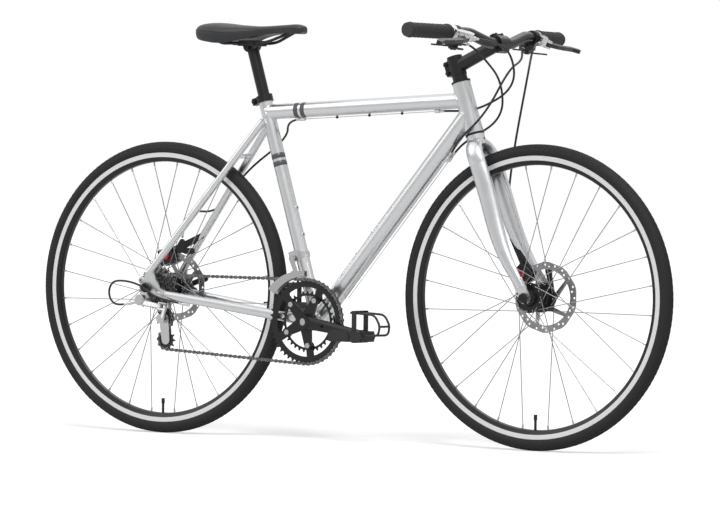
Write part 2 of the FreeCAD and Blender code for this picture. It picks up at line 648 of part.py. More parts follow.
PIVOT = at_lever(-8, 36)
LEVER_THICK = 9.0
bracket = join([
    cylinder(at_lever(-7, 0), at_lever(7, 0), BAR_END_RADIUS + 5),
    web(at_lever(0, 12), at_lever(-4, 30), 9, 8, LEVER_AXIS, 16),
    web(at_lever(-4, 30), PIVOT, 8, 10, LEVER_AXIS, 18),
    web(at_lever(-4, 28), at_lever(-34, 32), 9, 6, LEVER_AXIS, 14),
    cylinder(at_lever(-34, 32), at_lever(-48, 33), 5),
    web(at_lever(-4, 18, -4), at_lever(-28, 31, -3), 11, 10, LEVER_AXIS, 18),
])
bracket = bracket.cut(cylinder(at_lever(-40, 0), at_lever(-7.5, 0), BAR_END_RADIUS + 7))
bracket = bracket.cut(cylinder(at_lever(-40, 0), at_lever(40, 0), BAR_END_RADIUS))
bracket = bracket.cut(web(at_lever(-8, 38), at_lever(40, 52), 14, 16, LEVER_AXIS, LEVER_THICK + 2 * PART_GAP))
bracket = bracket.cut(cylinder(at_lever(-34, 32), at_lever(-60, 34), CABLE_RADIUS + 0.1))
lever_pin = cylinder(PIVOT - LEVER_AXIS * 9, PIVOT + LEVER_AXIS * 9, 3.0)
bracket = bracket.cut(lever_pin)
brake_lever = join([
    web(PIVOT, at_lever(18, 47), 9, 7, LEVER_AXIS, LEVER_THICK),
    web(at_lever(18, 47), at_lever(50, LEVER_REACH - 4), 7, 5.5, LEVER_AXIS, LEVER_THICK),
    web(at_lever(50, LEVER_REACH - 4), at_lever(92, LEVER_REACH), 5.5, 5.5, LEVER_AXIS, LEVER_THICK),
    web(at_lever(92, LEVER_REACH), at_lever(112, LEVER_REACH + 9), 5.5, 6.5, LEVER_AXIS, LEVER_THICK),
])
brake_lever = brake_lever.cut(cylinder(PIVOT - LEVER_AXIS * 20, PIVOT + LEVER_AXIS * 20, 3.0 + RUNNING_FIT))

# Shifter pods with thumb lever and release trigger
SHIFT_CLAMP = LEVER_CLAMP + 17.0
POD_AT = -8.0
POD_DEEP = 29.0
POD_DOWN = unit(V(-0.1, 0, -0.99) - BAR_OUT * V(-0.1, 0, -0.99).dot(BAR_OUT))
POD_AHEAD = unit(BAR_OUT.cross(POD_DOWN)) * -1.0
if POD_AHEAD.x < 0:
    POD_AHEAD = POD_AHEAD * -1.0


def at_pod(along, ahead, down):
    """Point by the shifter clamp: outwards along the bar, ahead of it and below it."""
    return on_bar(SHIFT_CLAMP) + BAR_OUT * along + POD_AHEAD * ahead + POD_DOWN * down


pod = join([
    cylinder(at_pod(-6, 0, 0), at_pod(6, 0, 0), BAR_END_RADIUS + 5),
    web(at_pod(0, 0, 8), at_pod(0, POD_AT, 18), 12, 10, BAR_OUT, 12),
    cylinder(at_pod(-6, POD_AT, 17.2), at_pod(-6, POD_AT, POD_DEEP), 19),
    cylinder(at_pod(-18, POD_AT + 4, 21), at_pod(-40, POD_AT + 6, 24), 5),
])
pod = pod.cut(cylinder(at_pod(-90, 0, 0), at_pod(90, 0, 0), BAR_END_RADIUS))
POD_DISC = 3.6
thumb_foot = at_pod(-6, POD_AT, POD_DEEP + PART_GAP + POD_DISC / 2)
thumb_lever = join([
    web(thumb_foot, thumb_foot - POD_AHEAD * 24 + BAR_OUT * 10, 11, 6, POD_DOWN, POD_DISC),
    web(thumb_foot - POD_AHEAD * 24 + BAR_OUT * 10, thumb_foot - POD_AHEAD * 36 + BAR_OUT * 22, 6, 8,
        POD_DOWN, POD_DISC),
])
trigger_foot = thumb_foot + POD_DOWN * (POD_DISC + PART_GAP)
trigger = join([
    web(trigger_foot, trigger_foot + POD_AHEAD * 26 + BAR_OUT * 8, 11, 6, POD_DOWN, POD_DISC),
    web(trigger_foot + POD_AHEAD * 26 + BAR_OUT * 8, trigger_foot + POD_AHEAD * 36 + BAR_OUT * 18, 6, 7,
        POD_DOWN, POD_DISC),
])
pod_pin = cylinder(at_pod(-6, POD_AT, 20), trigger_foot + POD_DOWN * (POD_DISC / 2 + 2.4), 4.0)
pod_pin = join([pod_pin, cylinder(trigger_foot + POD_DOWN * (POD_DISC / 2 + PART_GAP),
                                  trigger_foot + POD_DOWN * (POD_DISC / 2 + 2.4), 7.0)])
pod = pod.cut(pod_pin)
pin_hole = cylinder(at_pod(-6, POD_AT, 10), at_pod(-6, POD_AT, 60), 4.0 + RUNNING_FIT)
thumb_lever = thumb_lever.cut(pin_hole)
trigger = trigger.cut(pin_hole)

# Wheels
TYRE_ROUND = TYRE_WIDTH / 2
TYRE_CENTRE = TYRE_RADIUS - TYRE_ROUND
BEAD_DROP = TYRE_CENTRE - RIM_RADIUS
RIM_OUT = math.sqrt(TYRE_ROUND ** 2 - BEAD_DROP ** 2)
RIM_IN = math.sqrt((TYRE_ROUND - TYRE_WALL) ** 2 - BEAD_DROP ** 2)
RIM_NOSE = RIM_RADIUS - RIM_DEPTH
RIM_FLOOR = RIM_RADIUS - 12.0
HEAD_RADIUS = 1.9
FLANGE_HALF = 1.5


def tyre(x):
    """Tyre casing open towards the rim."""
    ring = Part.makeTorus(TYRE_CENTRE, TYRE_ROUND, V(x, 0, AXLE_Z), SIDE)
    inside = Part.makeTorus(TYRE_CENTRE, TYRE_ROUND - TYRE_WALL, V(x, 0, AXLE_Z), SIDE)
    below = across(x, AXLE_Z, -TYRE_WIDTH, TYRE_WIDTH, RIM_RADIUS)
    return ring.cut(inside).cut(below)


def inner_tube(x):
    """Air tube inside the tyre with its valve stem at the bottom."""
    radius = TYRE_ROUND - TYRE_WALL - 0.6
    ring = Part.makeTorus(TYRE_CENTRE, radius, V(x, 0, AXLE_Z), SIDE)
    stem_top = AXLE_Z - RIM_NOSE + 34
    ring = ring.cut(Part.makeTorus(TYRE_CENTRE, radius - 1.2, V(x, 0, AXLE_Z), SIDE))
    foot = AXLE_Z - TYRE_CENTRE + radius - 0.6
    valve = cylinder(V(x, 0, foot), V(x, 0, stem_top), 3.0)
    cap = cylinder(V(x, 0, stem_top - 12), V(x, 0, stem_top), 4.0)
    return join([ring, valve, cap])


def rim_angle(index):
    """Angle of one spoke hole; the valve sits midway between two of them."""
    return -math.pi / 2 + (index + 0.5) * 2 * math.pi / SPOKE_COUNT


def radial(x, y, radius, angle):
    """Point at a radius and angle about a wheel axle."""
    return V(x + radius * math.cos(angle), y, AXLE_Z + radius * math.sin(angle))


def rim(x):
    """Rim with spoke holes and a valve hole."""
    profile = [(-RIM_OUT, RIM_RADIUS), (-RIM_OUT, RIM_RADIUS - 11), (-RIM_OUT * 0.68, RIM_NOSE + 1.5),
               (-RIM_OUT * 0.4, RIM_NOSE), (RIM_OUT * 0.4, RIM_NOSE), (RIM_OUT * 0.68, RIM_NOSE + 1.5),
               (RIM_OUT, RIM_RADIUS - 11), (RIM_OUT, RIM_RADIUS), (RIM_IN, RIM_RADIUS),
               (RIM_IN, RIM_FLOOR + 3), (RIM_IN - 3, RIM_FLOOR), (3 - RIM_IN, RIM_FLOOR),
               (-RIM_IN, RIM_FLOOR + 3), (-RIM_IN, RIM_RADIUS)]
    ring = spin(x, AXLE_Z, profile)
    holes = [cylinder(radial(x, 0, RIM_NOSE - 6, rim_angle(index)),
                      radial(x, 0, RIM_RADIUS, rim_angle(index)), 2.4)
             for index in range(SPOKE_COUNT)]
    holes.append(cylinder(radial(x, 0, RIM_NOSE - 6, -math.pi / 2),
                          radial(x, 0, RIM_RADIUS, -math.pi / 2), 3.4))
    return ring.cut(holes)


def spokes(x, left, right):
    """Spokes and nipples from the two hub flanges, given the flange Y values."""
    made = []
    pitch = 2 * math.pi / SPOKE_COUNT
    for side, flange in ((0, left), (1, right)):
        outward = 1 if flange > 0 else -1
        for hole in range(SPOKE_COUNT // 2):
            start_index = 2 * hole + side
            lead = 1 if hole % 2 else -1
            end_index = start_index - lead * 2 * SPOKE_CROSSES
            outside = hole % 2 == 1
            shift = outward * (FLANGE_HALF + 2.9 if outside else -FLANGE_HALF - 1.3)
            head_shift = -math.copysign(FLANGE_HALF + HEAD_RADIUS, shift)
            start = radial(x, flange + shift, FLANGE_HOLE_RADIUS, rim_angle(start_index))
            end_angle = rim_angle(end_index)
            end = radial(x, 0, RIM_NOSE - 7, end_angle)
            shank = cylinder(start, end, SPOKE_RADIUS)
            head_end = radial(x, flange + head_shift, FLANGE_HOLE_RADIUS, rim_angle(start_index))
            elbow = cylinder(start, head_end, SPOKE_RADIUS)
            knob = Part.makeSphere(HEAD_RADIUS, head_end)
            corner = Part.makeSphere(SPOKE_RADIUS, start)
            made.append(join([shank, elbow, knob, corner]))
            nipple = join([cylinder(end, radial(x, 0, RIM_FLOOR, end_angle), 2.0),
                           cylinder(radial(x, 0, RIM_FLOOR, end_angle),
                                    radial(x, 0, RIM_FLOOR + 2, end_angle), 3.0)])
            made.append(nipple)
    return made


def drilled_hub(x, profile, left, right):
    """Hub shell turned from a profile, with the spoke holes of both flanges."""
    shell = spin(x, AXLE_Z, profile)
    holes = []
    for side, flange in ((0, left), (1, right)):
        for hole in range(SPOKE_COUNT // 2):
            angle = rim_angle(2 * hole + side)
            holes.append(cylinder(radial(x, flange - 4, FLANGE_HOLE_RADIUS, angle),
                                  radial(x, flange + 4, FLANGE_HOLE_RADIUS, angle), SPOKE_RADIUS + 0.2))
    return shell.cut(holes)


def rotor(x, y):
    """Ten-sided disc rotor with slanted arms and six bolts."""
    sides = 10
    points = []
    for index in range(sides):
        middle = 2 * math.pi * index / sides
        for part in (-0.36, 0.36):
            angle = middle + part * 2 * math.pi / sides
            points.append(radial(x, y, ROTOR_RADIUS, angle))
    outline = Part.Face(Part.makePolygon(points + [points[0]]))
    disc = outline.extrude(SIDE * ROTOR_THICKNESS)
    disc.translate(SIDE * (-ROTOR_THICKNESS / 2))
    brake_inner = ROTOR_RADIUS - 17
    disc = disc.cut(across(x, AXLE_Z, y - 5, y + 5, brake_inner))
    holes = []
    for index in range(sides):
        for depth, shift in ((6.5, 0.0), (11.5, 0.33), (6.5, 0.55)):
            radius = ROTOR_RADIUS - depth
            centre = radial(x, y, radius, 2 * math.pi * (index + shift) / sides)
            holes.append(across(centre.x, centre.z, y - 5, y + 5, 2.6))
    disc = disc.cut(holes)
    arms = []
    for index in range(5):
        angle = 2 * math.pi * index / 5
        start = radial(x, y, 24, angle)
        end = radial(x, y, brake_inner + 3, angle + 0.62)
        arms.append(web(start, end, 6, 4, SIDE, ROTOR_THICKNESS))
    hub_ring = across(x, AXLE_Z, y - ROTOR_THICKNESS / 2, y + ROTOR_THICKNESS / 2, 28, 18.2)
    plate = join([disc, hub_ring] + arms)
    plate = plate.cut(across(x, AXLE_Z, y - 5, y + 5, 18.2))
    bolt_holes = []
    for index in range(6):
        centre = radial(x, y, 22, math.pi * index / 3)
        bolt_holes.append(across(centre.x, centre.z, y - 5, y + 5, 2.5))
    return plate.cut(bolt_holes)


def rotor_bolts(x, y):
    """Six bolts that hold a rotor on its hub."""
    made = []
    for index in range(6):
        centre = radial(x, y, 22, math.pi * index / 3)
        made.append(join([across(centre.x, centre.z, y - 6, y + ROTOR_THICKNESS / 2, 2.5),
                          across(centre.x, centre.z, y + ROTOR_THICKNESS / 2,
                                 y + ROTOR_THICKNESS / 2 + 2.4, 3.6)]))
    return made


FRONT_ROTOR_Y = FRONT_HUB_WIDTH / 2 - FRONT_ROTOR_INSET
REAR_ROTOR_Y = REAR_HUB_WIDTH / 2 - REAR_ROTOR_INSET
AXLE_RADIUS = 5.0
HUB_BORE = AXLE_RADIUS + RUNNING_FIT
FLANGE_RADIUS = FLANGE_HOLE_RADIUS + 4.0
FRONT_LEFT = 22.0
FRONT_RIGHT = -33.0
REAR_LEFT = 34.0
REAR_RIGHT = -18.5


def hub_profile(left, right, rotor_y, right_end):
    """Half section of a hub shell with a rotor seat on the left."""
    seat = rotor_y - ROTOR_THICKNESS / 2
    left_end = rotor_y + 4.5
    return [(right_end, HUB_BORE), (right_end, 14), (right_end + 1.2, 17), (right - FLANGE_HALF, 20),
            (right - FLANGE_HALF, FLANGE_RADIUS), (right + FLANGE_HALF, FLANGE_RADIUS),
            (right + FLANGE_HALF, 23), (right + 12, 19), (left - 12, 19), (left - FLANGE_HALF, 23),
            (left - FLANGE_HALF, FLANGE_RADIUS),
            (left + FLANGE_HALF, FLANGE_RADIUS), (left + FLANGE_HALF, 27), (seat, 27), (seat, 18.2),
            (left_end, 18.2), (left_end, HUB_BORE)]


def bolted(shell, x, y):
    """Hub shell with the six rotor bolt holes."""
    holes = []
    for index in range(6):
        centre = radial(x, y, 22, math.pi * index / 3)
        holes.append(across(centre.x, centre.z, y - 6, y + 6, 2.5))
    return shell.cut(holes)


front_hub = drilled_hub(FRONT_X, hub_profile(FRONT_LEFT, FRONT_RIGHT, FRONT_ROTOR_Y, -FRONT_DROP_IN + 4.5),
                        FRONT_LEFT, FRONT_RIGHT)
front_hub = bolted(front_hub, FRONT_X, FRONT_ROTOR_Y)
rear_hub = drilled_hub(REAR_X, hub_profile(REAR_LEFT, REAR_RIGHT, REAR_ROTOR_Y, REAR_RIGHT - 3.4),
                       REAR_LEFT, REAR_RIGHT)
rear_hub = bolted(rear_hub, REAR_X, REAR_ROTOR_Y)


def axle_set(x, inner, hub_left, hub_right):
    """Axle, two locknuts, quick release rod, end nut and cam housing."""
    outer = inner + DROPOUT_PLATE
    rod_reach = outer + 14
    shaft = across(x, AXLE_Z, -inner - DROPOUT_PLATE + 1, inner + DROPOUT_PLATE - 1, AXLE_RADIUS - 0.5, 2.6)
    core = across(x, AXLE_Z, -inner, inner, AXLE_RADIUS, 2.6)
    right_nut = across(x, AXLE_Z, -inner, hub_right - PART_GAP, 9.0, AXLE_RADIUS)
    left_nut = across(x, AXLE_Z, hub_left + PART_GAP, inner, 9.0, AXLE_RADIUS)
    skewer = across(x, AXLE_Z, -rod_reach, outer + 4, 2.5)
    nut = spin(x, AXLE_Z, [(-outer, 2.5), (-outer, 10.5), (-outer - 8, 11.5), (-outer - 13, 8.5),
                           (-outer - 13, 2.5)])
    cam = across(x, AXLE_Z, outer, outer + 6, 10.0, 2.5)
    return [join([shaft, core]), right_nut, left_nut, skewer, nut, cam]


front_axle = axle_set(FRONT_X, FRONT_DROP_IN, FRONT_ROTOR_Y + 4.5, -FRONT_DROP_IN + 4.5)
rear_axle = axle_set(REAR_X, DROP_IN, REAR_ROTOR_Y + 4.5, -DROP_IN + 4.0)


CAM_RADIUS = 7.0


def release_hinge(x, outer):
    """Middle of the cam barrel a quick release lever turns on."""
    return V(x, outer + 6 + PART_GAP + CAM_RADIUS, AXLE_Z)


def release_lever(x, outer, angle):
    """Quick release lever on its cam barrel, folded along a direction given by its angle."""
    centre = release_hinge(x, outer)
    way = V(math.cos(angle), 0, math.sin(angle))
    hinge = V(-math.sin(angle), 0, math.cos(angle))
    barrel = cylinder(centre - hinge * 9, centre + hinge * 9, CAM_RADIUS)
    shank = web(centre, centre + way * 46, 6.5, 6.0, SIDE, 6.0)
    paddle = web(centre + way * 46, centre + way * 60, 6.0, 8.0, SIDE, 5.0)
    return join([barrel, shank, paddle])


FRONT_LEVER_ANGLE = math.radians(100)
REAR_LEVER_ANGLE = math.radians(20)
front_release = release_lever(FRONT_X, FRONT_DROP_IN + DROPOUT_PLATE, FRONT_LEVER_ANGLE)
rear_release = release_lever(REAR_X, DROP_IN + DROPOUT_PLATE, REAR_LEVER_ANGLE)

# Disc calipers
CALIPER_RADIUS = 66.0


def caliper(x, y, angle, foot_first, foot_last, foot_y):
    """Caliper body with a slot for the rotor, its mount, two pads and the arm pivot."""
    out = V(math.cos(angle), 0, math.sin(angle))
    tangent = V(-math.sin(angle), 0, math.cos(angle))
    middle = V(x, y, AXLE_Z) + out * (CALIPER_RADIUS + 10)
    body = join([block(middle, tangent, SIDE, (40, 28, 38)),
                 cylinder(middle - out * 4 + SIDE * 10, middle - out * 4 + SIDE * 19, 16)])
    body = body.cut(across(x, AXLE_Z, y - 5.6, y + 5.6, ROTOR_RADIUS + 2))
    feet = []
    for foot in (foot_first, foot_last):
        lug = V(foot[0], y, foot[1])
        near = middle + tangent * (14 if (lug - middle).dot(tangent) > 0 else -14) + out * 8
        feet.append(web(near, lug, 8, 7, SIDE, 8))
    feet = [foot.cut(across(x, AXLE_Z, y - 5.6, y + 5.6, ROTOR_RADIUS + 2)) for foot in feet]
    body = join([body] + feet)
    legs = []
    for foot in (foot_first, foot_last):
        legs.append(cylinder(V(foot[0], y - 4, foot[1]), V(foot[0], foot_y, foot[1]), 6.0))
    body = join([body] + legs)
    pads = []
    for side in (-1, 1):
        face = y + side * (ROTOR_THICKNESS / 2 + 0.5)
        back = y + side * 5.6
        spot = V(middle.x, (face + back) / 2, middle.z) - out * 9
        pad = block(spot, tangent, SIDE, (24, abs(back - face), 16))
        pads.append(pad)
    return [body] + pads, middle


def caliper_arm(middle, angle, lean):
    """Arm on the outside of a caliper, pulled by the cable."""
    out = V(math.cos(angle), 0, math.sin(angle))
    pivot = middle - out * 4 + SIDE * (19 + PART_GAP + 3)
    way = V(math.cos(lean), 0, math.sin(lean))
    arm = web(pivot, pivot + way * 44, 11, 6, SIDE, 6)
    knob = cylinder(pivot + SIDE * 2, pivot + SIDE * 7, 8)
    return join([arm, knob]), pivot


FRONT_CALIPER_ANGLE = math.radians(138)
REAR_CALIPER_ANGLE = math.radians(108)
front_lug_top = steer(152, 4)
front_lug_low = steer(102, 14)
front_caliper, front_caliper_mid = caliper(FRONT_X, FRONT_ROTOR_Y, FRONT_CALIPER_ANGLE,
                                           (front_lug_top.x, front_lug_top.z),
                                           (front_lug_low.x, front_lug_low.z),
                                           FRONT_ROTOR_Y + 6)
left_leg_solid = left_leg
front_caliper[0] = front_caliper[0].cut(left_leg_solid)
front_caliper[0] = max(front_caliper[0].Solids, key=lambda one: one.Volume)
STAY_LUG = SEATSTAY_END + STAY_RUN * 112
STAY_LUG_LOW = SEATSTAY_END + STAY_RUN * 66
rear_caliper, rear_caliper_mid = caliper(REAR_X, REAR_ROTOR_Y, REAR_CALIPER_ANGLE, (STAY_LUG.x, STAY_LUG.z),
                                         (STAY_LUG_LOW.x, STAY_LUG_LOW.z), REAR_ROTOR_Y + 5)
rear_caliper[0] = rear_caliper[0].cut(left_seatstay).cut(left_dropout)
rear_caliper[0] = max(rear_caliper[0].Solids, key=lambda one: one.Volume)
FRONT_ARM_LEAN = math.radians(112)
REAR_ARM_LEAN = math.radians(62)
front_arm, front_arm_pivot = caliper_arm(front_caliper_mid, FRONT_CALIPER_ANGLE, FRONT_ARM_LEAN)
rear_arm, rear_arm_pivot = caliper_arm(rear_caliper_mid, REAR_CALIPER_ANGLE, REAR_ARM_LEAN)

# Chain path
COG_FACE = -DROP_IN + FIRST_COG_GAP
CHAIN_Y = COG_FACE + CHAIN_COG * COG_SPACING
ROLLER_RADIUS = 3.85


def pitch_radius(teeth):
    """Radius at which a chain wraps a sprocket."""
    return teeth * CHAIN_PITCH / (2 * math.pi)


GUIDE = (REAR_X + GUIDE_AHEAD, AXLE_Z - GUIDE_BELOW)


def chain_path(cage):
    """Runs and arcs of the chain for a cage angle, with the total length."""
    tension = (GUIDE[0] + CAGE_LENGTH * math.sin(cage), GUIDE[1] - CAGE_LENGTH * math.cos(cage))
    wheels = [((REAR_X, AXLE_Z), pitch_radius(COG_TEETH[CHAIN_COG]), -1),
              ((BRACKET_X, BRACKET_Z), pitch_radius(RING_TEETH), -1),
              (tension, pitch_radius(PULLEY_TEETH), -1),
              (GUIDE, pitch_radius(PULLEY_TEETH), 1)]
    ways = []
    for index in range(4):
        centre, radius, sign = wheels[index]
        next_centre, next_radius, next_sign = wheels[(index + 1) % 4]
        dx = next_centre[0] - centre[0]
        dz = next_centre[1] - centre[1]
        span = math.hypot(dx, dz)
        ways.append(math.atan2(dz, dx) - math.asin((next_sign * next_radius - sign * radius) / span))
    pieces = []
    total = 0.0
    for index in range(4):
        centre, radius, sign = wheels[index]
        enter = ways[index - 1]
        leave = ways[index]
        sweep = (leave - enter) % (2 * math.pi) if sign > 0 else -((enter - leave) % (2 * math.pi))
        start = enter - sign * math.pi / 2
        pieces.append(("arc", total, centre, radius, start, sweep))
        total += radius * abs(sweep)
        next_centre, next_radius, next_sign = wheels[(index + 1) % 4]
        first = (centre[0] + sign * radius * math.sin(leave), centre[1] - sign * radius * math.cos(leave))
        last = (next_centre[0] + next_sign * next_radius * math.sin(leave),
                next_centre[1] - next_sign * next_radius * math.cos(leave))
        pieces.append(("run", total, first, last))
        total += math.hypot(last[0] - first[0], last[1] - first[1])
    return pieces, total, tension


def fit_cage():
    """Cage angle at which an even number of links closes the chain."""
    middle = math.radians(CAGE_ANGLE)
    links = 2 * round(chain_path(middle)[1] / (2 * CHAIN_PITCH))
    low = middle - math.radians(40)
    high = middle + math.radians(40)
    for step in range(60):
        half = (low + high) / 2
        if chain_path(half)[1] > links * CHAIN_PITCH:
            low = half
        else:
            high = half
    return half, links


CAGE, LINKS = fit_cage()
CHAIN_PIECES, CHAIN_LENGTH, TENSION = chain_path(CAGE)
print("chain: %d links, cage angle %.2f degrees" % (LINKS, math.degrees(CAGE)))


def chain_point(distance):
    """Point on the chain path at a distance along it."""
    distance = distance % CHAIN_LENGTH
    for piece in reversed(CHAIN_PIECES):
        if distance >= piece[1] - 1e-9:
            break
    rest = distance - piece[1]
    if piece[0] == "arc":
        angle = piece[4] + math.copysign(rest / piece[3], piece[5])
        return (piece[2][0] + piece[3] * math.cos(angle), piece[2][1] + piece[3] * math.sin(angle))
    span = math.hypot(piece[3][0] - piece[2][0], piece[3][1] - piece[2][1])
    share = rest / span
    return (piece[2][0] + (piece[3][0] - piece[2][0]) * share,
            piece[2][1] + (piece[3][1] - piece[2][1]) * share)


def first_roller(index):
    """Angle of the first roller that lies on the arc of one sprocket."""
    piece = CHAIN_PIECES[2 * index]
    step = CHAIN_LENGTH / LINKS
    rest = math.ceil(piece[1] / step - 1e-9) * step - piece[1]
    return piece[4] + math.copysign(rest / piece[3], piece[5])


ROLLERS = [chain_point(index * CHAIN_LENGTH / LINKS) for index in range(LINKS)]
chain = []
for index in range(LINKS):
    first = ROLLERS[index]
    last = ROLLERS[(index + 1) % LINKS]
    offset = 2.0 if index % 2 else 2.75
    for side in (-1, 1):
        chain.append(flat_web(first, last, 4.0, 4.0, CHAIN_Y + side * offset, 0.75))
    chain.append(across(first[0], first[1], CHAIN_Y - 1.625, CHAIN_Y + 1.625, ROLLER_RADIUS))


def sprocket(x, z, teeth, phase, y, thickness):
    """Toothed disc whose gullets take the chain rollers."""
    radius = pitch_radius(teeth)
    gullet = ROLLER_RADIUS + 0.25
    spread = math.radians(62)
    step = 2 * math.pi / teeth
    edges = []
    tip = radius + 2.4
    first = None
    previous = None
    for index in range(teeth):
        angle = phase + index * step
        out = V(math.cos(angle), 0, math.sin(angle))
        way = V(-math.sin(angle), 0, math.cos(angle))
        centre = V(x, y - thickness / 2, z) + out * radius
        start = centre - out * (gullet * math.cos(spread)) - way * (gullet * math.sin(spread))
        bottom = centre - out * gullet
        end = centre - out * (gullet * math.cos(spread)) + way * (gullet * math.sin(spread))
        if previous is None:
            first = start
        else:
            edges.append(Part.LineSegment(previous, start).toShape())
        edges.append(Part.Arc(start, bottom, end).toShape())
        for part in (-0.075, 0.075):
            lean = angle + (0.5 + part) * step
            corner = V(x + tip * math.cos(lean), y - thickness / 2, z + tip * math.sin(lean))
            edges.append(Part.LineSegment(end, corner).toShape())
            end = corner
        previous = end
    edges.append(Part.LineSegment(previous, first).toShape())
    return Part.Face(Part.Wire(edges)).extrude(SIDE * thickness)


# Chainrings
CRANK = math.radians(CRANK_ANGLE)
SMALL_RING_Y = CHAIN_Y + RING_SPACING
RING_THICK = 2.2


def spider_point(index, radius, y):
    """Point on one of the five spider arms."""
    angle = CRANK + index * 2 * math.pi / 5
    return V(BRACKET_X + radius * math.cos(angle), y, BRACKET_Z + radius * math.sin(angle))


def chainring(teeth, phase, y, inner):
    """Chainring with five bolt tabs."""
    ring = sprocket(BRACKET_X, BRACKET_Z, teeth, phase, y, RING_THICK)
    ring = ring.cut(across(BRACKET_X, BRACKET_Z, y - 5, y + 5, inner))
    tabs = []
    holes = []
    for index in range(5):
        tabs.append(web(spider_point(index, BOLT_CIRCLE_RADIUS, y), spider_point(index, inner, y), 8.5, 10,
                        SIDE, RING_THICK))
        point = spider_point(index, BOLT_CIRCLE_RADIUS, y)
        holes.append(across(point.x, point.z, y - 5, y + 5, 4.0))
    return join([ring] + tabs).cut(holes)


big_ring = chainring(RING_TEETH, first_roller(1), CHAIN_Y, 80.0)
small_ring = chainring(SMALL_RING_TEETH, CRANK, SMALL_RING_Y, 60.0)

# Cranks
CRANK_FACE = CHAIN_Y - RING_THICK / 2
PEDAL_FACE = -80.0
SPINDLE_RADIUS = 8.5


def crank_arm(angle, side, spider):
    """Crank arm on the side of the given sign, with the spider arms it carries."""
    way = V(math.cos(angle), 0, math.sin(angle))
    wide = V(-math.sin(angle), 0, math.cos(angle))
    start = BRACKET + SIDE * (side * 60.0)
    end = BRACKET + way * CRANK_LENGTH + SIDE * (side * (abs(PEDAL_FACE) - 6.5))
    wires = [oval(start + way * 4, wide, SIDE, 15.5, 8.5), oval(start + way * 60, wide, SIDE, 13.5, 7.5),
             oval(end - way * 4, wide, SIDE, 11.5, 6.3)]
    boss = cylinder(BRACKET + SIDE * (side * 45.5), BRACKET + SIDE * (side * 68.5), 18)
    eye = cylinder(end - SIDE * (side * 6.5), end + SIDE * (side * 6.5), 13.5)
    return join([loft(wires), boss, eye] + spider)


spider = []
for index in range(5):
    near = spider_point(index, 10, CRANK_FACE - 3)
    far = spider_point(index, BOLT_CIRCLE_RADIUS, CRANK_FACE - 3)
    spider.append(web(near, far, 15, 9, SIDE, 6))
right_crank = crank_arm(CRANK, -1, spider)
left_crank = crank_arm(CRANK + math.pi, 1, [])
spindle_hole = across(BRACKET_X, BRACKET_Z, -90, 90, SPINDLE_RADIUS)
right_crank = right_crank.cut(spindle_hole)
left_crank = left_crank.cut(spindle_hole)
spindle = across(BRACKET_X, BRACKET_Z, -62, 62, SPINDLE_RADIUS)
crank_bolts = []
for side in (-1, 1):
    crank_bolts.append(across(BRACKET_X, BRACKET_Z, side * 62, side * 66, SPINDLE_RADIUS))
ring_bolts = []
for index in range(5):
    point = spider_point(index, BOLT_CIRCLE_RADIUS, 0)
    right_crank = right_crank.cut(across(point.x, point.z, -90, 0, 4.0))
    shank = across(point.x, point.z, CRANK_FACE - 6, SMALL_RING_Y + RING_THICK / 2, 4.0)
    head = across(point.x, point.z, CRANK_FACE - 8, CRANK_FACE - 6, 6.0)
    back = across(point.x, point.z, SMALL_RING_Y + RING_THICK / 2, SMALL_RING_Y + RING_THICK / 2 + 1.5, 6.0)
    washer = across(point.x, point.z, CHAIN_Y + RING_THICK / 2, SMALL_RING_Y - RING_THICK / 2, 7.0)
    ring_bolts.append(join([shank, head, back, washer]))
right_crank = right_crank.cut(ring_bolts)
PEDAL = V(BRACKET_X + CRANK_LENGTH * math.cos(CRANK), 0, BRACKET_Z + CRANK_LENGTH * math.sin(CRANK))
LEFT_PEDAL = V(2 * BRACKET_X - PEDAL.x, 0, 2 * BRACKET_Z - PEDAL.z)
PEDAL_IN = 89.0
PEDAL_OUT = 152.0
PEDAL_SHAFT = 6.0
right_shaft = across(PEDAL.x, PEDAL.z, PEDAL_FACE + 13, -PEDAL_OUT + 5, PEDAL_SHAFT)
left_shaft = across(LEFT_PEDAL.x, LEFT_PEDAL.z, -PEDAL_FACE - 13, PEDAL_OUT - 5, PEDAL_SHAFT)
right_crank = right_crank.cut(right_shaft)
left_crank = left_crank.cut(left_shaft)

# Bottom bracket cartridge
cartridge = across(BRACKET_X, BRACKET_Z, -SHELL_WIDTH / 2 - 3, SHELL_WIDTH / 2 + 3, SHELL_BORE,
                   SPINDLE_RADIUS + RUNNING_FIT)

# Pedals with toe clips
PEDAL_HALF = 44.0
PEDAL_HIGH = 24.0
CLIP_REACH = 88.0
CLIP_RISE = 50.0
CLIP_IN = 99.0
CLIP_OUT = 141.0


def pedal_body(x, z):
    """Right pedal at an axle point: barrel, two end plates and two cage plates."""
    barrel = across(x, z, -PEDAL_OUT, -PEDAL_IN, 11.5)
    plates = []
    for y in (PEDAL_IN + 4, PEDAL_OUT - 6):
        plates.append(flat_web((x - PEDAL_HALF + 12, z), (x + PEDAL_HALF - 12, z), 12, 12, -y, 8))
    for side in (-1, 1):
        centre = V(x + side * (PEDAL_HALF - 3), -(PEDAL_IN + PEDAL_OUT - 2) / 2, z)
        plates.append(block(centre, V(1, 0, 0), SIDE, (6, PEDAL_OUT - PEDAL_IN - 10, PEDAL_HIGH)))
    body = join([barrel] + plates)
    return body.cut(across(x, z, -PEDAL_OUT + 5 - PART_GAP, -PEDAL_IN + 5, PEDAL_SHAFT + RUNNING_FIT))


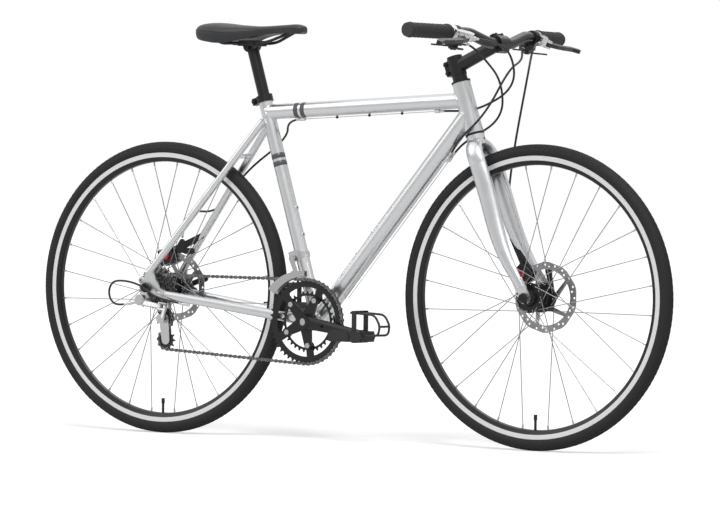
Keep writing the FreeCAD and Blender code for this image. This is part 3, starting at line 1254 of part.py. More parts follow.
def toe_clip(x, z):
    """Right toe clip: two bent rods, two cross rods and the strap."""
    front = x + PEDAL_HALF
    parts = []
    for y in (CLIP_IN, CLIP_OUT):
        parts.append(rod([V(front, -y, z + 2), V(x + CLIP_REACH - 4, -y, z + 4),
                          V(x + CLIP_REACH, -y, z + 26), V(x + CLIP_REACH - 14, -y, z + CLIP_RISE),
                          V(x + 10, -y, z + CLIP_RISE + 4)], 2.6, 0.4))
    for point in ((x + CLIP_REACH - 0.6, z + 24), (x + 12, z + CLIP_RISE + 4), (x + 40, z + CLIP_RISE + 2)):
        parts.append(across(point[0], point[1], -CLIP_OUT, -CLIP_IN, 2.6))
    clip = join(parts)
    high = z + CLIP_RISE + 8.4
    middle = V(x + 22, -(CLIP_IN + CLIP_OUT) / 2, (z - 14 + high) / 2)
    wide = CLIP_OUT - CLIP_IN + 10
    band = block(middle, V(1, 0, 0), SIDE, (12, wide, high - z + 14))
    band = band.cut(block(middle, V(1, 0, 0), SIDE, (14, wide - 4, high - z + 10.4)))
    return clip, band


right_pedal = pedal_body(PEDAL.x, PEDAL.z)
left_pedal = mirrored(pedal_body(LEFT_PEDAL.x, LEFT_PEDAL.z))
right_clip, right_strap = toe_clip(PEDAL.x, PEDAL.z)
left_clip, left_strap = [mirrored(one) for one in toe_clip(LEFT_PEDAL.x, LEFT_PEDAL.z)]
right_pedal = right_pedal.cut(right_strap).cut(right_clip)
left_pedal = left_pedal.cut(left_strap).cut(left_clip)

# Cassette
cassette = []
FREEHUB_RADIUS = 17.0
for index, teeth in enumerate(COG_TEETH):
    y = COG_FACE + index * COG_SPACING
    phase = first_roller(0) if index == CHAIN_COG else 0.1 * index
    cog = sprocket(REAR_X, AXLE_Z, teeth, phase, y, 1.8)
    cog = cog.cut(across(REAR_X, AXLE_Z, y - 5, y + 5, FREEHUB_RADIUS))
    if teeth >= 17:
        windows = []
        for part in range(6):
            centre = radial(REAR_X, y, (FREEHUB_RADIUS + pitch_radius(teeth)) / 2, part * math.pi / 3)
            size = min((pitch_radius(teeth) - 5 - FREEHUB_RADIUS) / 2 - 2.5, 6.5)
            if size > 1.5:
                windows.append(across(centre.x, centre.z, y - 5, y + 5, size))
        if windows:
            cog = cog.cut(windows)
    cassette.append(cog)
    if index:
        cassette.append(across(REAR_X, AXLE_Z, y - COG_SPACING + 0.9, y - 0.9, FREEHUB_RADIUS + 3.0,
                               FREEHUB_RADIUS))
FREEHUB_END = REAR_RIGHT - 3.4 - PART_GAP
cassette.append(across(REAR_X, AXLE_Z, COG_FACE - 0.9, FREEHUB_END, FREEHUB_RADIUS, HUB_BORE))
cassette.append(across(REAR_X, AXLE_Z, COG_FACE - 2.6, COG_FACE - 0.9, FREEHUB_RADIUS + 1.0, 10.0))

# Rear derailleur
KNUCKLE = V(HANGER[0], -DROP_IN - DROPOUT_PLATE - 9, HANGER[1])
LINK_AXIS = unit(V(0, 0.35, 0.937))
MOVER = V(GUIDE[0] - 2, CHAIN_Y - 24, GUIDE[1] + 4)
LINK_START = V(KNUCKLE.x + 8, KNUCKLE.y - 1, KNUCKLE.z - 8)
LINK_SPAN = MOVER - LINK_START
LINK_SPAN = LINK_SPAN - LINK_AXIS * LINK_SPAN.dot(LINK_AXIS)
LINK_END = LINK_START + LINK_SPAN * (1 - 3.0 / LINK_SPAN.Length)
LINK_HALF = 5.0
knuckle_y = -DROP_IN - DROPOUT_PLATE
fixed_knuckle = join([
    across(HANGER[0], HANGER[1], knuckle_y, knuckle_y - 17, 13.0),
    across(HANGER[0], HANGER[1], knuckle_y - 17, knuckle_y - 19, 9.0),
    across(HANGER[0], HANGER[1], knuckle_y + DROPOUT_PLATE, knuckle_y, 5.0),
])
fork_gap = PART_GAP + LINK_HALF
for side in (-1, 1):
    ear = LINK_START + LINK_AXIS * (side * (fork_gap + 2.0))
    inner = V(KNUCKLE.x + 3, KNUCKLE.y, KNUCKLE.z - 3) + LINK_AXIS * (side * (fork_gap + 2.0))
    fixed_knuckle = join([fixed_knuckle, web(inner, ear, 6, 5.5, LINK_AXIS, 4.0)])
link_pin = cylinder(LINK_START - LINK_AXIS * (fork_gap + 4), LINK_START + LINK_AXIS * (fork_gap + 4), 2.0)
link_room = web(LINK_START, LINK_END, 6.6, 6.6, LINK_AXIS, 2 * fork_gap)
LINK_WAY = unit(LINK_SPAN)


def leaned(lean):
    """Direction of the links when they have swung by an angle in degrees."""
    return FreeCAD.Rotation(LINK_AXIS, lean).multVec(LINK_WAY)


swept_room = join([link_room] + [
    web(LINK_START, LINK_START + leaned(lean) * 40, 6.6, 6.6, LINK_AXIS, 2 * fork_gap)
    for lean in (-18, 12, 28)])
fixed_knuckle = fixed_knuckle.cut(swept_room).cut(right_dropout)
fixed_knuckle = max(fixed_knuckle.Solids, key=lambda one: one.Volume)
fixed_knuckle = join([fixed_knuckle, link_pin])
barrel_start = V(KNUCKLE.x - 10, KNUCKLE.y - 3, KNUCKLE.z - 4)
barrel_end = V(KNUCKLE.x - 34, KNUCKLE.y - 3, KNUCKLE.z - 9)
fixed_knuckle = join([fixed_knuckle, cylinder(barrel_start, barrel_end, 4.5)])
barrel_bore = barrel_start - (barrel_start - barrel_end) * 0.6
fixed_knuckle = fixed_knuckle.cut(cylinder(barrel_bore, barrel_end, CABLE_RADIUS))
links = web(LINK_START, LINK_END, 6.0, 6.0, LINK_AXIS, 2 * LINK_HALF)
pin_room = cylinder(LINK_START - LINK_AXIS * 20, LINK_START + LINK_AXIS * 20, 2.0 + RUNNING_FIT)
far_room = cylinder(LINK_END - LINK_AXIS * 20, LINK_END + LINK_AXIS * 20, 2.0 + RUNNING_FIT)
links = links.cut(pin_room).cut(far_room)
CAGE_HALF = 4.4
CAGE_PLATE = 1.6
CAGE_OUT = CHAIN_Y - CAGE_HALF
CAGE_IN = CHAIN_Y + CAGE_HALF
mover_barrel = across(GUIDE[0], GUIDE[1], CAGE_OUT - 1.6 - PART_GAP, CAGE_OUT - 16, 11.0)
mover_spine = LINK_END + LINK_WAY * 13
mover_parts = [mover_barrel,
               cylinder(mover_spine - LINK_AXIS * 27, mover_spine + LINK_AXIS * (fork_gap + 4), 5.5)]
for side in (-1, 1):
    ear = LINK_END + LINK_AXIS * (side * (fork_gap + 2.0))
    inner = mover_spine + LINK_AXIS * (side * (fork_gap + 2.0))
    mover_parts.append(web(inner, ear, 6, 5.5, LINK_AXIS, 4.0))
mover = join(mover_parts)
back_room = join([web(LINK_END, LINK_END - leaned(lean) * 40, 6.6, 6.6, LINK_AXIS, 2 * fork_gap)
                  for lean in (-18, -6, 6, 12, 28)])
mover = mover.cut(back_room)
mover = max(mover.Solids, key=lambda one: one.Volume)
mover = join([mover, cylinder(LINK_END - LINK_AXIS * (fork_gap + 4),
                              LINK_END + LINK_AXIS * (fork_gap + 4), 2.0)])
CAGE_PIN = 4.0
mover = mover.cut(across(GUIDE[0], GUIDE[1], CAGE_OUT, CAGE_OUT - 12, CAGE_PIN + RUNNING_FIT))
cage_plates = []
for y in (CAGE_OUT, CAGE_IN):
    cage_plates.append(flat_web(GUIDE, TENSION, 13, 11, y, CAGE_PLATE))
cage_pivot = across(GUIDE[0], GUIDE[1], CAGE_OUT, CAGE_OUT - 11, CAGE_PIN)
cage_axles = [across(point[0], point[1], CAGE_OUT, CAGE_IN, 3.0) for point in (GUIDE, TENSION)]
cage = join(cage_plates + cage_axles + [cage_pivot])


def pulley(point, phase):
    """Chain pulley on a cage axle."""
    wheel = sprocket(point[0], point[1], PULLEY_TEETH, phase, CHAIN_Y, 2.4)
    hub = across(point[0], point[1], CHAIN_Y - 3.4, CHAIN_Y + 3.4, 7.0)
    return join([wheel, hub]).cut(across(point[0], point[1], CHAIN_Y - 9, CHAIN_Y + 9, 3.0 + RUNNING_FIT))


tension_pulley = pulley(TENSION, first_roller(2))
guide_pulley = pulley(GUIDE, first_roller(3))

# Front derailleur
FD_AT = 158.0
fd_band = tube(post(FD_AT - 7), post(FD_AT + 7), SEAT_TUBE_RADIUS + 2.5, SEAT_TUBE_RADIUS)
FD_BODY_Y = -SEAT_TUBE_RADIUS - 7
fd_body = block(post(FD_AT, -6, FD_BODY_Y), POST_AHEAD, SIDE, (22, 13, 24))
FD_RAIL_RADIUS = 3.2
fd_rail = cylinder(post(FD_AT - 5, -6, FD_BODY_Y), post(FD_AT - 5, -6, CHAIN_Y + 9), FD_RAIL_RADIUS)
front_mech = join([fd_band, fd_body, fd_rail]).cut(seat_outer)
CAGE_INNER = pitch_radius(RING_TEETH) + 7.5


def fd_plate(y):
    """Curved cage plate concentric with the big chainring."""
    outer = CAGE_INNER + 17
    first = math.radians(92)
    last = math.radians(144)
    middle = (first + last) / 2

    def spot(radius, angle):
        return V(BRACKET_X + radius * math.cos(angle), y - 0.8, BRACKET_Z + radius * math.sin(angle))

    edges = [
        Part.Arc(spot(CAGE_INNER, first), spot(CAGE_INNER, middle), spot(CAGE_INNER, last)).toShape(),
        Part.LineSegment(spot(CAGE_INNER, last), spot(outer + 4, last)).toShape(),
        Part.Arc(spot(outer + 4, last), spot(outer, middle), spot(outer - 5, first)).toShape(),
        Part.LineSegment(spot(outer - 5, first), spot(CAGE_INNER, first)).toShape(),
    ]
    return Part.Face(Part.Wire(edges)).extrude(SIDE * 1.6)


FD_OUT = CHAIN_Y - 6.0
FD_IN = CHAIN_Y + 6.0
FD_BRIDGE = V(BRACKET_X + (CAGE_INNER + 15) * math.cos(math.radians(108)), 0,
              BRACKET_Z + (CAGE_INNER + 15) * math.sin(math.radians(108)))
rail_end = post(FD_AT - 5, -6, 0)
SLEEVE_END = FD_BODY_Y - 7 - RING_SPACING - 1
fd_sleeve = tube(V(rail_end.x, CHAIN_Y + 8, rail_end.z), V(rail_end.x, SLEEVE_END, rail_end.z), 6.0,
                 FD_RAIL_RADIUS + RUNNING_FIT)
fd_strut = web(V(rail_end.x, CHAIN_Y + 9.5, rail_end.z), V(FD_BRIDGE.x, CHAIN_Y + 9.5, FD_BRIDGE.z),
               6, 5, SIDE, 3)
fd_strut = fd_strut.cut(across(rail_end.x, rail_end.z, -90, 0, FD_RAIL_RADIUS + RUNNING_FIT))
fd_top = across(FD_BRIDGE.x, FD_BRIDGE.z, FD_OUT, CHAIN_Y + 11, 3.0)
fd_cage = join([fd_plate(FD_OUT), fd_plate(FD_IN), fd_top, fd_strut, fd_sleeve])

# Seatpost and saddle
POST_FOOT = SEAT_TUBE_LENGTH + SEATPOST_SHOWN - SEATPOST_LENGTH
POST_TOP = SEAT_TUBE_LENGTH + SEATPOST_SHOWN
CLAMP = post(POST_TOP + 6)
RAIL_Z = CLAMP.z + 2.0
seatpost = cylinder(post(POST_FOOT), post(POST_TOP), SEATPOST_RADIUS)
post_head = cylinder(CLAMP - SIDE * 16, CLAMP + SIDE * 16, 15.0)
seatpost = join([seatpost, post_head])
seatpost = seatpost.cut(cylinder(post(POST_FOOT), post(POST_TOP - 20), SEATPOST_RADIUS - 2.5))
HEAD_FLAT = RAIL_Z - 3.0
seatpost = seatpost.cut(block(V(CLAMP.x, 0, HEAD_FLAT + 30), V(1, 0, 0), SIDE, (90, 90, 60)))
rail_half = RAIL_SPACING / 2
TAIL_X = CLAMP.x - SADDLE_LENGTH * 0.46
NOSE_X = TAIL_X + SADDLE_LENGTH
SADDLE_BASE = RAIL_Z + 14


def saddle_rail():
    """Right saddle rail."""
    points = [V(TAIL_X + 26, -rail_half - 8, SADDLE_BASE + 8),
              V(TAIL_X + 54, -rail_half, RAIL_Z + RAIL_RADIUS),
              V(NOSE_X - 96, -rail_half, RAIL_Z + RAIL_RADIUS), V(NOSE_X - 34, -7, SADDLE_BASE + 14)]
    return rod(points, RAIL_RADIUS, 0.3)


right_rail = saddle_rail()
left_rail = mirrored(right_rail)
cradle = block(V(CLAMP.x, 0, HEAD_FLAT + 3.1), V(1, 0, 0), SIDE, (44, RAIL_SPACING + 12, 6.2))
upper_clamp = block(V(CLAMP.x, 0, RAIL_Z + 6.9), V(1, 0, 0), SIDE, (40, RAIL_SPACING + 12, 6.2))
cradle = cradle.cut(right_rail).cut(left_rail)
upper_clamp = upper_clamp.cut(right_rail).cut(left_rail)
clamp_bolt = across(CLAMP.x, CLAMP.z - 6, -21, 21, 4.0)
seatpost = seatpost.cut(clamp_bolt)
SADDLE_SECTIONS = (
    (0.00, 0.74, 10, 30), (0.05, 0.93, 2, 36), (0.14, 1.00, -1, 37), (0.28, 0.94, 0, 34), (0.42, 0.70, 3, 30),
    (0.56, 0.46, 8, 28), (0.72, 0.34, 12, 29), (0.88, 0.29, 13, 31), (0.96, 0.25, 13, 31), (1.00, 0.15, 16, 28),
)


def saddle_section(share, wide, base, top):
    """Outline of the saddle across its length: flat base, rounded sides and crown."""
    x = TAIL_X + SADDLE_LENGTH * share
    half = wide * SADDLE_WIDTH / 2
    low = SADDLE_BASE + base
    high = SADDLE_BASE + top
    deep = high - low
    left_low = V(x, half * 0.90, low)
    left_side = V(x, half, low + deep * 0.38)
    left_top = V(x, half * 0.74, low + deep * 0.84)
    right_low = V(x, -half * 0.90, low)
    right_side = V(x, -half, low + deep * 0.38)
    right_top = V(x, -half * 0.74, low + deep * 0.84)
    edges = [
        Part.LineSegment(right_low, left_low).toShape(),
        Part.Arc(left_low, left_side, left_top).toShape(),
        Part.Arc(left_top, V(x, 0, high), right_top).toShape(),
        Part.Arc(right_top, right_side, right_low).toShape(),
    ]
    return Part.Wire(edges)


saddle = loft([saddle_section(*one) for one in SADDLE_SECTIONS])
saddle = saddle.cut(right_rail).cut(left_rail)
saddle = max(saddle.Solids, key=lambda one: one.Volume)

# Cables fixed to the frame
REAR_ARM_END = rear_arm_pivot + V(math.cos(REAR_ARM_LEAN), 0, math.sin(REAR_ARM_LEAN)) * 44
frame_cables = [
    cylinder(under_top(TOP_STOP_REAR + 6, 0), under_top(TOP_STOP_FRONT - 6, 0), WIRE_RADIUS),
    cylinder(under_down(92, SHIFT_SIDE), under_down(DOWN_STOP - 7, SHIFT_SIDE), WIRE_RADIUS),
    cylinder(under_down(92, -SHIFT_SIDE), under_down(DOWN_STOP - 7, -SHIFT_SIDE), WIRE_RADIUS),
]
for share in (0.25, 0.5, 0.75):
    middle = under_top(TOP_STOP_REAR + (TOP_STOP_FRONT - TOP_STOP_REAR) * share, 0)
    frame_cables.append(tube(middle - TOP_RUN * 3, middle + TOP_RUN * 3, 3.2, WIRE_RADIUS))
stop_rear = under_top(TOP_STOP_REAR - 6, 0)
rear_brake_route = [
    stop_rear, stop_rear - TOP_RUN * 36, V(post(440).x + 10, 42, post(440).z),
    GUIDE_LEFT + STAY_LEFT_RUN * 60, GUIDE_LEFT - STAY_LEFT_RUN * 60,
    REAR_ARM_END + V(8, 0, 76), REAR_ARM_END + V(0, 0, 9)]
frame_cables.append(housing("rear brake housing", rear_brake_route, CABLE_RADIUS))
stay_way = CHAIN_RUN
stay_tail = STAY_STOP + stay_way * 8
# The housing reaches the barrel by a round loop behind the wheel axle, tangent to the barrel.
LOOP_RADIUS = 30.0
LOOP_STEPS = 4
barrel_way = unit(barrel_start - barrel_end)
barrel_lean = math.atan2(barrel_way.z, barrel_way.x)
loop_foot = barrel_end - barrel_way * 20
loop_middle = loop_foot + V(-math.sin(barrel_lean), 0, math.cos(barrel_lean)) * LOOP_RADIUS
loop_first = math.radians(88)
loop_last = math.radians(270) + barrel_lean
loop_half = (loop_last - loop_first) / LOOP_STEPS / 2
loop_points = []
for index in range(LOOP_STEPS):
    angle = loop_first + loop_half * (2 * index + 1)
    reach = LOOP_RADIUS / math.cos(loop_half)
    loop_points.append(loop_middle + V(math.cos(angle), 0, math.sin(angle)) * reach)
derailleur_route = [stay_tail, stay_tail + stay_way * 22, V(REAR_X + 34, -DROP_IN - 24, AXLE_Z - 20),
                    V(REAR_X - 8, -DROP_IN - 27, AXLE_Z + 10)] + loop_points + [barrel_end]
frame_cables.append(housing("rear derailleur housing", derailleur_route, CABLE_RADIUS))

# Cables at the steering end
LEFT_LEVER_END = V(at_lever(-48, 33).x, -at_lever(-48, 33).y, at_lever(-48, 33).z)
RIGHT_LEVER_END = at_lever(-48, 33)
POD_END = at_pod(-40, POD_AT + 6, 24)
LEFT_POD_END = V(POD_END.x, -POD_END.y, POD_END.z)
lever_in = unit(at_lever(-48, 33) - at_lever(-34, 32))
left_lever_in = V(lever_in.x, -lever_in.y, lever_in.z)
pod_in = unit(at_pod(-40, POD_AT + 6, 24) - at_pod(-18, POD_AT + 4, 21))
left_pod_in = V(pod_in.x, -pod_in.y, pod_in.z)
stop_front = under_top(TOP_STOP_FRONT + 6, 0)
down_left = under_down(DOWN_STOP + 7, SHIFT_SIDE)
down_right = under_down(DOWN_STOP + 7, -SHIFT_SIDE)
FRONT_OF_HEAD = HEAD_TUBE_RADIUS + 44
steering_housings = [
    housing("rear brake housing at the bar",
            [RIGHT_LEVER_END, RIGHT_LEVER_END + lever_in * 50, steer(HEAD_TOP + 22, 160, -25),
             steer(HEAD_TOP - 50, 118, 26),
             V(steer(HEAD_TOP - 60).x, HEAD_TUBE_RADIUS + 14, steer(HEAD_TOP - 60).z - 6),
             stop_front + TOP_RUN * 22, stop_front], CABLE_RADIUS),
    housing("front shift housing",
            [LEFT_POD_END, LEFT_POD_END + left_pod_in * 18, LEFT_POD_END + left_pod_in * 48 + V(12, 0, -24),
             steer(HEAD_TOP - 8, FRONT_OF_HEAD + 62, 2),
             steer(HEAD_END + 26, 62, -38), down_right + DOWN_RUN * 46 - SIDE * 12,
             down_right + DOWN_RUN * 18, down_right], CABLE_RADIUS),
    housing("rear shift housing",
            [POD_END, POD_END + pod_in * 18, POD_END + pod_in * 48 + V(12, 0, -24),
             steer(HEAD_TOP - 28, FRONT_OF_HEAD + 34, 6),
             steer(HEAD_END + 16, 58, 40), down_left + DOWN_RUN * 46 + SIDE * 12, down_left + DOWN_RUN * 18,
             down_left], CABLE_RADIUS),
]
FRONT_ARM_END = front_arm_pivot + V(math.cos(FRONT_ARM_LEAN), 0, math.sin(FRONT_ARM_LEAN)) * 44
front_housing = housing(
    "front brake housing",
    [LEFT_LEVER_END, LEFT_LEVER_END + left_lever_in * 46, steer(HEAD_TOP - 30, FRONT_OF_HEAD + 80, 44),
     steer(FORK_LENGTH - 60, 46, 62), steer(FORK_LENGTH - 190, -20, 74), FRONT_ARM_END + V(-8, 0, 44),
     FRONT_ARM_END + V(0, 0, 9)], CABLE_RADIUS)

# Files
save("main_frame", [head_tube, top_tube, down_tube, seat_tube, bracket_shell])
save("rear_stays", [right_chainstay, left_chainstay, right_seatstay, left_seatstay, right_dropout,
                    left_dropout, seat_bridge, low_bridge])
save("frame_fittings", bosses + stops)
save("seat_clamp", [collar, collar_bolt])
save("frame_bearings", [lower_cup, upper_cup, low_bearing, top_bearing, cartridge])
save("fork_crown", [crown])
save("fork_legs", [right_leg, left_leg])
save("stem", [stem, spacer, top_cap] + pinch_bolts)
save("stem_faceplate", [faceplate] + face_bolts)
save("handlebar", [handlebar])
save("grips", [right_grip, mirrored(right_grip)])
save("brake_lever_brackets", [bracket, mirrored(bracket), lever_pin, mirrored(lever_pin)])
save("right_brake_lever", [brake_lever])
save("left_brake_lever", [mirrored(brake_lever)])
save("shifter_pods", [pod, mirrored(pod), pod_pin, mirrored(pod_pin)])
save("right_thumb_lever", [thumb_lever])
save("left_thumb_lever", [mirrored(thumb_lever)])
save("right_release_trigger", [trigger])
save("left_release_trigger", [mirrored(trigger)])
WHEELS = (
    ("front", FRONT_X, FRONT_LEFT, FRONT_RIGHT, front_hub, FRONT_ROTOR_Y),
    ("rear", REAR_X, REAR_LEFT, REAR_RIGHT, rear_hub, REAR_ROTOR_Y),
)
for name, x, left, right, hub, hub_rotor in WHEELS:
    save(name + "_tyre", [tyre(x), inner_tube(x)])
    save(name + "_rim", [rim(x)])
    save(name + "_spokes", spokes(x, left, right))
    save(name + "_hub", [hub])
    save(name + "_rotor", [rotor(x, hub_rotor)] + rotor_bolts(x, hub_rotor))
save("front_axle", front_axle)
save("rear_axle", rear_axle)
save("front_release_lever", [front_release])
save("rear_release_lever", [rear_release])
save("front_caliper", front_caliper)
save("rear_caliper", rear_caliper)
save("front_caliper_arm", [front_arm])
save("rear_caliper_arm", [rear_arm])
save("chain", chain)
save("cassette", cassette)
save("chainrings", [big_ring, small_ring])
save("chainring_bolts", ring_bolts + crank_bolts)
save("crank_arms", [right_crank, left_crank, spindle, right_shaft, left_shaft])
save("right_pedal", [right_pedal])
save("left_pedal", [left_pedal])
save("right_toe_clip", [right_clip, right_strap])
save("left_toe_clip", [left_clip, left_strap])
save("rear_derailleur", [fixed_knuckle])
save("derailleur_links", [links])
save("derailleur_knuckle", [mover])
save("derailleur_cage", [cage])
save("guide_pulley", [guide_pulley])
save("tension_pulley", [tension_pulley])
save("front_derailleur", [front_mech])
save("front_derailleur_cage", [fd_cage])
save("seatpost", [seatpost, cradle, upper_clamp, clamp_bolt])
save("saddle_rails", [right_rail, left_rail])
save("saddle", [saddle])
save("frame_cables", frame_cables)
save("steering_housings", steering_housings)
save("front_brake_housing", [front_housing])
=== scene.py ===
"""Looks of a flat-bar hybrid bike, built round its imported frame."""

import json
import math

import bmesh
import bpy
from bpy.props import FloatProperty, FloatVectorProperty, IntProperty, PointerProperty
from mathutils import Matrix, Vector


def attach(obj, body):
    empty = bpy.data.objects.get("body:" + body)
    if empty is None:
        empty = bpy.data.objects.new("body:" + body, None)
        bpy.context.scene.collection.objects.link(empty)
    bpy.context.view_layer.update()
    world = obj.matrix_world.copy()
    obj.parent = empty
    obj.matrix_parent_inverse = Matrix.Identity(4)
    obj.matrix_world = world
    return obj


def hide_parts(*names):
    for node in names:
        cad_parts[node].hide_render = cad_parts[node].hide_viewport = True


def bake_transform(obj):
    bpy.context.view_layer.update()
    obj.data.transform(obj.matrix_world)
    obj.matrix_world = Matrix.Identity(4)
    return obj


bl_info = {
    "name": "Hybrid Bike",
    "version": (1, 0, 0),
    "blender": (4, 5, 0),
    "location": "View3D > Sidebar > Bike",
    "description": "Finishes, tyres, saddle, grips, cables and studio of a hybrid bike",
    "category": "Object",
}

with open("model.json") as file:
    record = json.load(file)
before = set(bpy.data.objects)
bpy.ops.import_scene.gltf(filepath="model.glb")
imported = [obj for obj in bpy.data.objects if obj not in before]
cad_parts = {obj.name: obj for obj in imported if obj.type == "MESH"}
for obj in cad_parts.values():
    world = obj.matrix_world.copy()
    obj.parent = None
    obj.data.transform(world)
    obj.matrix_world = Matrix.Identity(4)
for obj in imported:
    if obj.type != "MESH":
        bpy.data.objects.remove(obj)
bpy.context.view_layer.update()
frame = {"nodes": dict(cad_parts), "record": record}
NODES = frame["nodes"]
JOINTS = {joint["name"]: joint for joint in frame["record"]["behaviour"]["joints"]}


def joint_place(name):
    """Point that a joint turns about, in metres."""
    return Vector(JOINTS[name]["pos_m"])


# Places on the bike, in metres
FRONT_AXLE = joint_place("front_wheel_spin")
REAR_AXLE = joint_place("rear_wheel_spin")
BRACKET = joint_place("crank_spin")
POST_UP = Vector(JOINTS["seat_height"]["axis"])
SEAT_TOP = joint_place("seat_height")
HEAD_LOW = Vector((0.3386, 0.0, 0.7082))
HEAD_HIGH = Vector((0.3019, 0.0, 0.8214))
TOP_REAR = Vector((-0.2195, 0.0, 0.7548))
TOP_FRONT = Vector((0.3145, 0.0, 0.7824))
DOWN_FRONT = Vector((0.3244, 0.0, 0.7520))
BAR_END = Vector((0.3634, -0.3340, 0.9300))
GRIP_END = Vector((0.3833, -0.1995, 0.9294))
TYRE_MIDDLE = 0.3265
TYRE_ROUND = 0.0155
RIM_NOSE = 0.296
SADDLE_TAIL = -0.3909
SADDLE_FOOT = 0.9250
BRAKE_DIALS = {"steerer": Vector((0.4495, 0.0255, 0.3929)), "frame": Vector((-0.5295, 0.0382, 0.4143))}

# Edges of the finishes, in metres from the axle or from the middle plane
RIM_TRACK = (0.3062, 0.3068)
TYRE_SHOULDER = (0.333, 0.337)
ROTOR_TRACK = (0.0625, 0.0632)
AXLE_EDGES = {"front": 0.0562, "rear": 0.0737}

# Camera, in radians, metres and millimetres of lens
CAMERA_YAW = 0.5612
CAMERA_PITCH = 0.0184
CAMERA_ROLL = 0.0121
CAMERA_TARGET = Vector((0.0376, 0.0, 0.4167))
CAMERA_DISTANCE = 10.021
CAMERA_LENS = 218.7

# Cable routes, in metres, from the lever or shifter towards the piece that is pulled
REAR_BRAKE_AT_BAR = (
    (0.4218, -0.1446, 0.9156),
    (0.4323, -0.0957, 0.9139),
    (0.4472, -0.0250, 0.8917),
    (0.4295, 0.0260, 0.8103),
    (0.3204, 0.0350, 0.7583),
    (0.2677, 0.0000, 0.7589),
    (0.2457, 0.0000, 0.7578),
)
FRONT_SHIFT = (
    (0.3890, 0.1307, 0.9054),
    (0.3929, 0.1133, 0.9027),
    (0.4115, 0.0844, 0.8743),
    (0.4251, 0.0020, 0.8530),
    (0.3896, -0.0380, 0.7521),
    (0.3055, -0.0190, 0.6910),
    (0.2875, -0.0070, 0.6694),
    (0.2760, -0.0070, 0.6556),
)
REAR_SHIFT = (
    (0.3890, -0.1307, 0.9054),
    (0.3929, -0.1133, 0.9027),
    (0.4115, -0.0844, 0.8743),
    (0.4047, 0.0060, 0.8253),
    (0.3889, 0.0400, 0.7413),
    (0.3055, 0.0190, 0.6910),
    (0.2875, 0.0070, 0.6694),
    (0.2760, 0.0070, 0.6556),
)
FRONT_BRAKE = (
    (0.4218, 0.1446, 0.9156),
    (0.4314, 0.0996, 0.9140),
    (0.4490, 0.0440, 0.8377),
    (0.4025, 0.0620, 0.6606),
    (0.3799, 0.0740, 0.5166),
    (0.4280, 0.0619, 0.4750),
    (0.4360, 0.0619, 0.4400),
)
REAR_BRAKE = (
    (-0.1286, 0.0000, 0.7385),
    (-0.1645, 0.0000, 0.7366),
    (-0.1914, 0.0420, 0.6944),
    (-0.3187, 0.0454, 0.6112),
    (-0.3925, 0.0590, 0.5175),
    (-0.4996, 0.0746, 0.5253),
    (-0.5076, 0.0746, 0.4583),
)
REAR_DERAILLEUR = (
    (-0.4097, -0.0602, 0.3056),
    (-0.4313, -0.0627, 0.3086),
    (-0.4720, -0.0915, 0.3220),
    (-0.5140, -0.0945, 0.3520),
    (-0.5871, -0.0855, 0.3597),
    (-0.6057, -0.0855, 0.3402),
    (-0.6034, -0.0855, 0.3133),
    (-0.5818, -0.0855, 0.2972),
    (-0.5490, -0.0855, 0.3040),
)
TOP_WIRE = ((-0.1166, 0.0, 0.7391), (0.2337, 0.0, 0.7572))
SHIFT_WIRE = ((0.0027, 0.0070, 0.3280), (0.2670, 0.0070, 0.6449))

# Saddle along its length: share, half width, underside at the middle, skirt, crown (millimetres)
SADDLE_STATIONS = (
    (0.000, 44, 13, 10, 28),
    (0.025, 60, 5, 1, 34),
    (0.080, 70, 1, -5, 37),
    (0.160, 74, -1, -9, 38),
    (0.250, 73, -1, -12, 36),
    (0.340, 64, 0, -10, 33),
    (0.440, 50, 3, -4, 31),
    (0.560, 35, 7, 4, 29),
    (0.700, 26, 11, 10, 30),
    (0.840, 22, 12, 11, 32),
    (0.930, 20, 12, 10, 33),
    (0.980, 15, 13, 11, 30),
    (1.000, 9, 15, 14, 27),
)


def count_setting(name, description, value, least, most):
    """Whole number that can be set."""
    return IntProperty(name=name, description=description, default=value, min=least, max=most)


def length_setting(name, description, value):
    """Length that can be set."""
    return FloatProperty(name=name, description=description, default=value, unit="LENGTH")


def colour_setting(name, description, value):
    """Colour that can be set."""
    return FloatVectorProperty(name=name, description=description, subtype="COLOR", size=4,
                               default=value + (1.0,))


class BikeSizes(bpy.types.PropertyGroup):
    """Sizes of the details."""

    tread_count: count_setting("Tread Blocks", "Blocks in one row round a tyre", 150, 24, 400)
    tread_height: length_setting("Tread Height", "Height of a tread block over the tyre", 0.0007)
    spoke_count: count_setting("Spokes", "Spokes in one wheel", 28, 12, 48)
    nipple_length: length_setting("Nipple Length", "Length of a spoke nipple that shows", 0.010)
    grip_rows: count_setting("Grip Rows", "Rows of raised pads along a grip", 17, 4, 40)
    grip_pads: count_setting("Grip Pads", "Raised pads in one row round a grip", 14, 6, 40)
    grip_radius: length_setting("Grip Radius", "Outer radius of a grip", 0.016)
    housing_diameter: length_setting("Housing Diameter", "Outer diameter of a cable housing", 0.005)
    wire_diameter: length_setting("Wire Diameter", "Diameter of a bare inner wire", 0.0016)
    weld_radius: length_setting("Weld Radius", "Radius of a weld bead", 0.0026)
    saddle_length: length_setting("Saddle Length", "Length of the saddle", 0.272)


